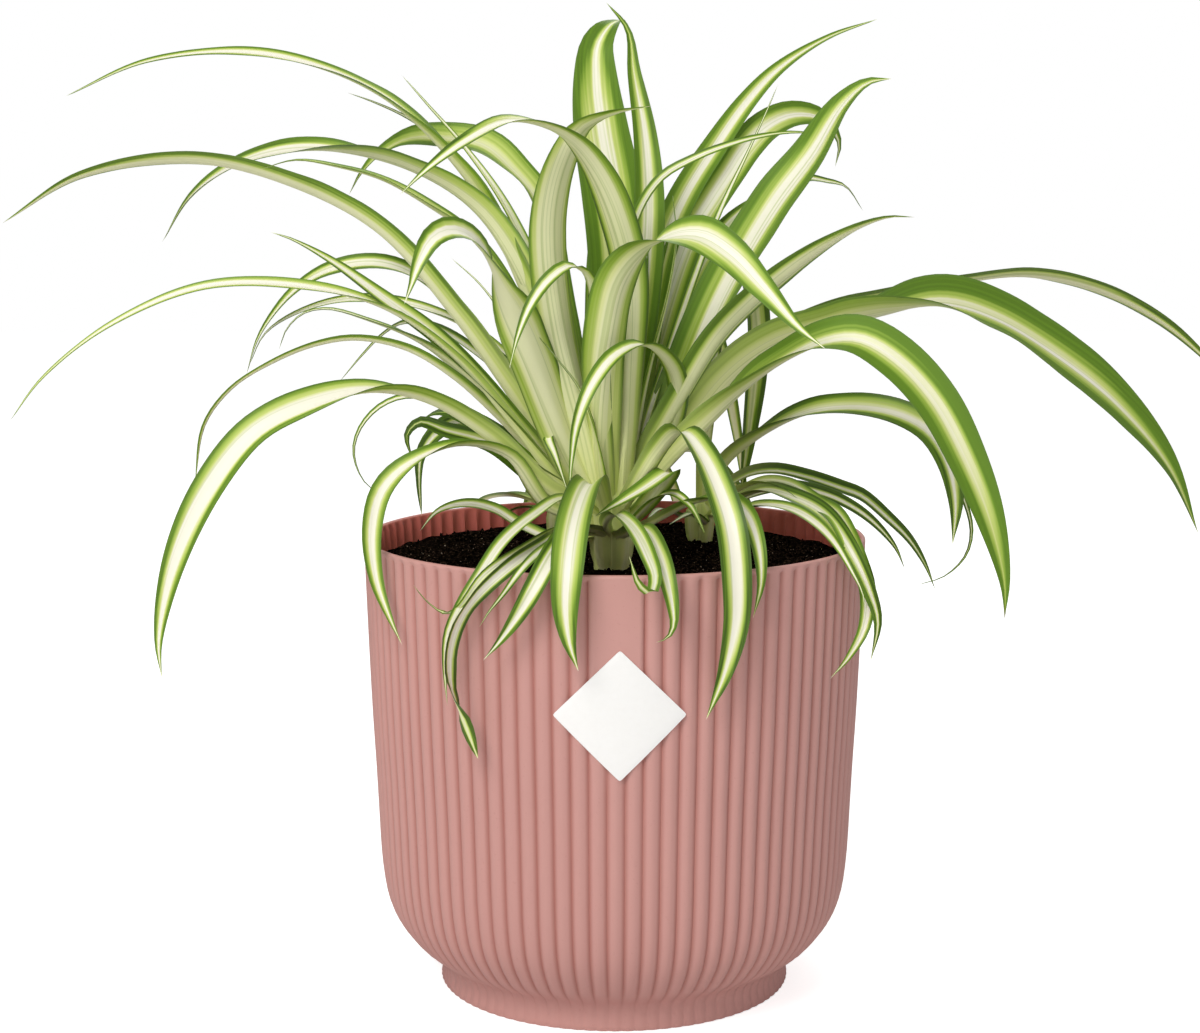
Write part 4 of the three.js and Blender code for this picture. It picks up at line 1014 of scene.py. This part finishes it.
def addLeaf(form, crown, made):
    line = leafLine(form["points"], crown)
    length = evenly(line, 1)[1]
    steps = max(blade["leastSteps"], round(length / blade["step"]))
    places = evenly(line, steps)[0]
    foot, end = places[0][0], places[-1][0]
    heading = Vector((end.x - foot.x, end.y - foot.y, 0)).normalized()
    level = Vector((heading.y, -heading.x, 0))
    turnSign = 1 if heading.x >= 0 else -1
    columns, waveLength, first = blade["columns"], blade["waveLength"], len(made["vertices"])
    ring = 2 * columns + 2
    draw = random.Random(form["name"])
    seed = draw.uniform(0, 100)
    look = leafLooks.get(form["name"]) or (draw.uniform(0.2, 0.42), draw.uniform(0.35, 0.55),
                                           draw.uniform(0.25, 0.75))
    for step in range(steps):
        t = step / steps
        place, along = places[step]
        side = (level - along * level.dot(along)).normalized()
        face = side.cross(along)
        turn = turnSign * rollAt(form["rolls"], t)
        turnedSide = side * math.cos(turn) - face * math.sin(turn)
        turnedFace = face * math.cos(turn) + side * math.sin(turn)
        half = halfWidthAt(form, t)
        made["lines"] += [2 * half * blade["linesPerWidth"]] * ring
        for isLower in (False, True):
            for column in range(columns + 1):
                x = 1 - 2 * column / columns if isLower else 2 * column / columns - 1
                wave = noise.noise(Vector((math.copysign(3, x), t * length / waveLength, seed)))
                aside, up = sectionPoint(x, isLower, half, t, wave)
                made["vertices"].append(tuple(place + turnedSide * aside + turnedFace * up))
                made["uvs"].append(((x + 1) / 2, t))
    made["vertices"].append(tuple(end))
    made["uvs"].append((0.5, 1))
    made["lines"].append(0.0)
    points = steps * ring + 1
    made["looks"] += [*look, 1.0] * points
    made["dry"] += [driedTips.get(form["name"], 0.0)] * points
    made["seeds"] += [seed] * points
    made["faces"].append(tuple(first + i for i in range(ring)))
    made["kinds"].append(0)
    tip = first + steps * ring
    for step in range(steps):
        for i in range(ring):
            low, after = first + step * ring + i, first + step * ring + (i + 1) % ring
            if step == steps - 1:
                made["faces"].append((low, tip, after))
            else:
                made["faces"].append((low, low + ring, after + ring, after))
            made["kinds"].append(1 if columns < i < 2 * columns + 1 else 0)


def addStalk(crown, made):
    x, y, radius, height = crown
    rows = [(share, rise + part * height) for share, rise, part in stalk["rows"]]
    sides, first, points = stalk["sides"], len(made["vertices"]), stalk["sides"] * len(rows)
    for share, up in rows:
        for i in range(sides):
            angle = 2 * math.pi * i / sides
            overlap = (stalk["sheaths"] * i / sides + up * stalk["sheathSlant"]) % 1
            reach = radius * share * (1 + stalk["sheathStep"] * (overlap - 0.5))
            made["vertices"].append((x + reach * math.sin(angle), y - reach * math.cos(angle),
                                     soil["middleHeight"] + up))
            made["uvs"].append((stalk["wraps"] * i / sides % 1, stalk["shade"]))
    for row in range(len(rows) - 1):
        for i in range(sides):
            low, after = first + row * sides + i, first + row * sides + (i + 1) % sides
            made["faces"].append((low, after, after + sides, low + sides))
    made["faces"].append(tuple(range(first, first + sides))[::-1])
    made["faces"].append(tuple(range(first + points - sides, first + points)))
    made["kinds"] += [0] * (points - sides + 2)
    made["looks"] += [*stalk["look"], 1.0] * points
    made["dry"] += [0.0] * points
    made["seeds"] += [0.0] * points
    made["lines"] += [stalk["lines"]] * points


def makeRosette(name, node, leaves, crown, materials):
    made = {"vertices": [], "faces": [], "kinds": [], "uvs": [], "looks": [], "dry": [], "seeds": [],
            "lines": []}
    addStalk(crown, made)
    for form in leaves:
        addLeaf(form, crown, made)
    piece = newPiece(name, made["vertices"], made["faces"], materials, 60)
    mesh = piece.data
    mesh.polygons.foreach_set("material_index", made["kinds"])
    mesh.attributes.new("look", "FLOAT_COLOR", "POINT").data.foreach_set("color", made["looks"])
    for layer, values in (("dry", made["dry"]), ("seed", made["seeds"]), ("lines", made["lines"])):
        mesh.attributes.new(layer, "FLOAT", "POINT").data.foreach_set("value", values)
    stripes = mesh.uv_layers.new(name="stripes")
    stripes.data.foreach_set("uv", [c for loop in mesh.loops for c in made["uvs"][loop.vertex_index]])
    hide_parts(node)
    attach(piece, "root")
    print(name, "made:", len(leaves), "leaves,", len(mesh.polygons), "faces")


makeCamera()
makeLamps()
makeSky()
makeFloor()
print("Camera, light and floor made")

makePot()
makeSoil()
makeLabel()

leafMaterials = [leafStripes("stripedLeaf", False), leafStripes("stripedLeafUnderside", True)]
makeRosette("mainRosette", "rosette_main", mainLeaves, stalk["crowns"]["main"], leafMaterials)
makeRosette("rightRosette", "rosette_right", rightLeaves, stalk["crowns"]["right"], leafMaterials)
makeRosette("backRosette", "rosette_back", backLeaves, stalk["crowns"]["back"], leafMaterials)

bpy.context.view_layer.update()
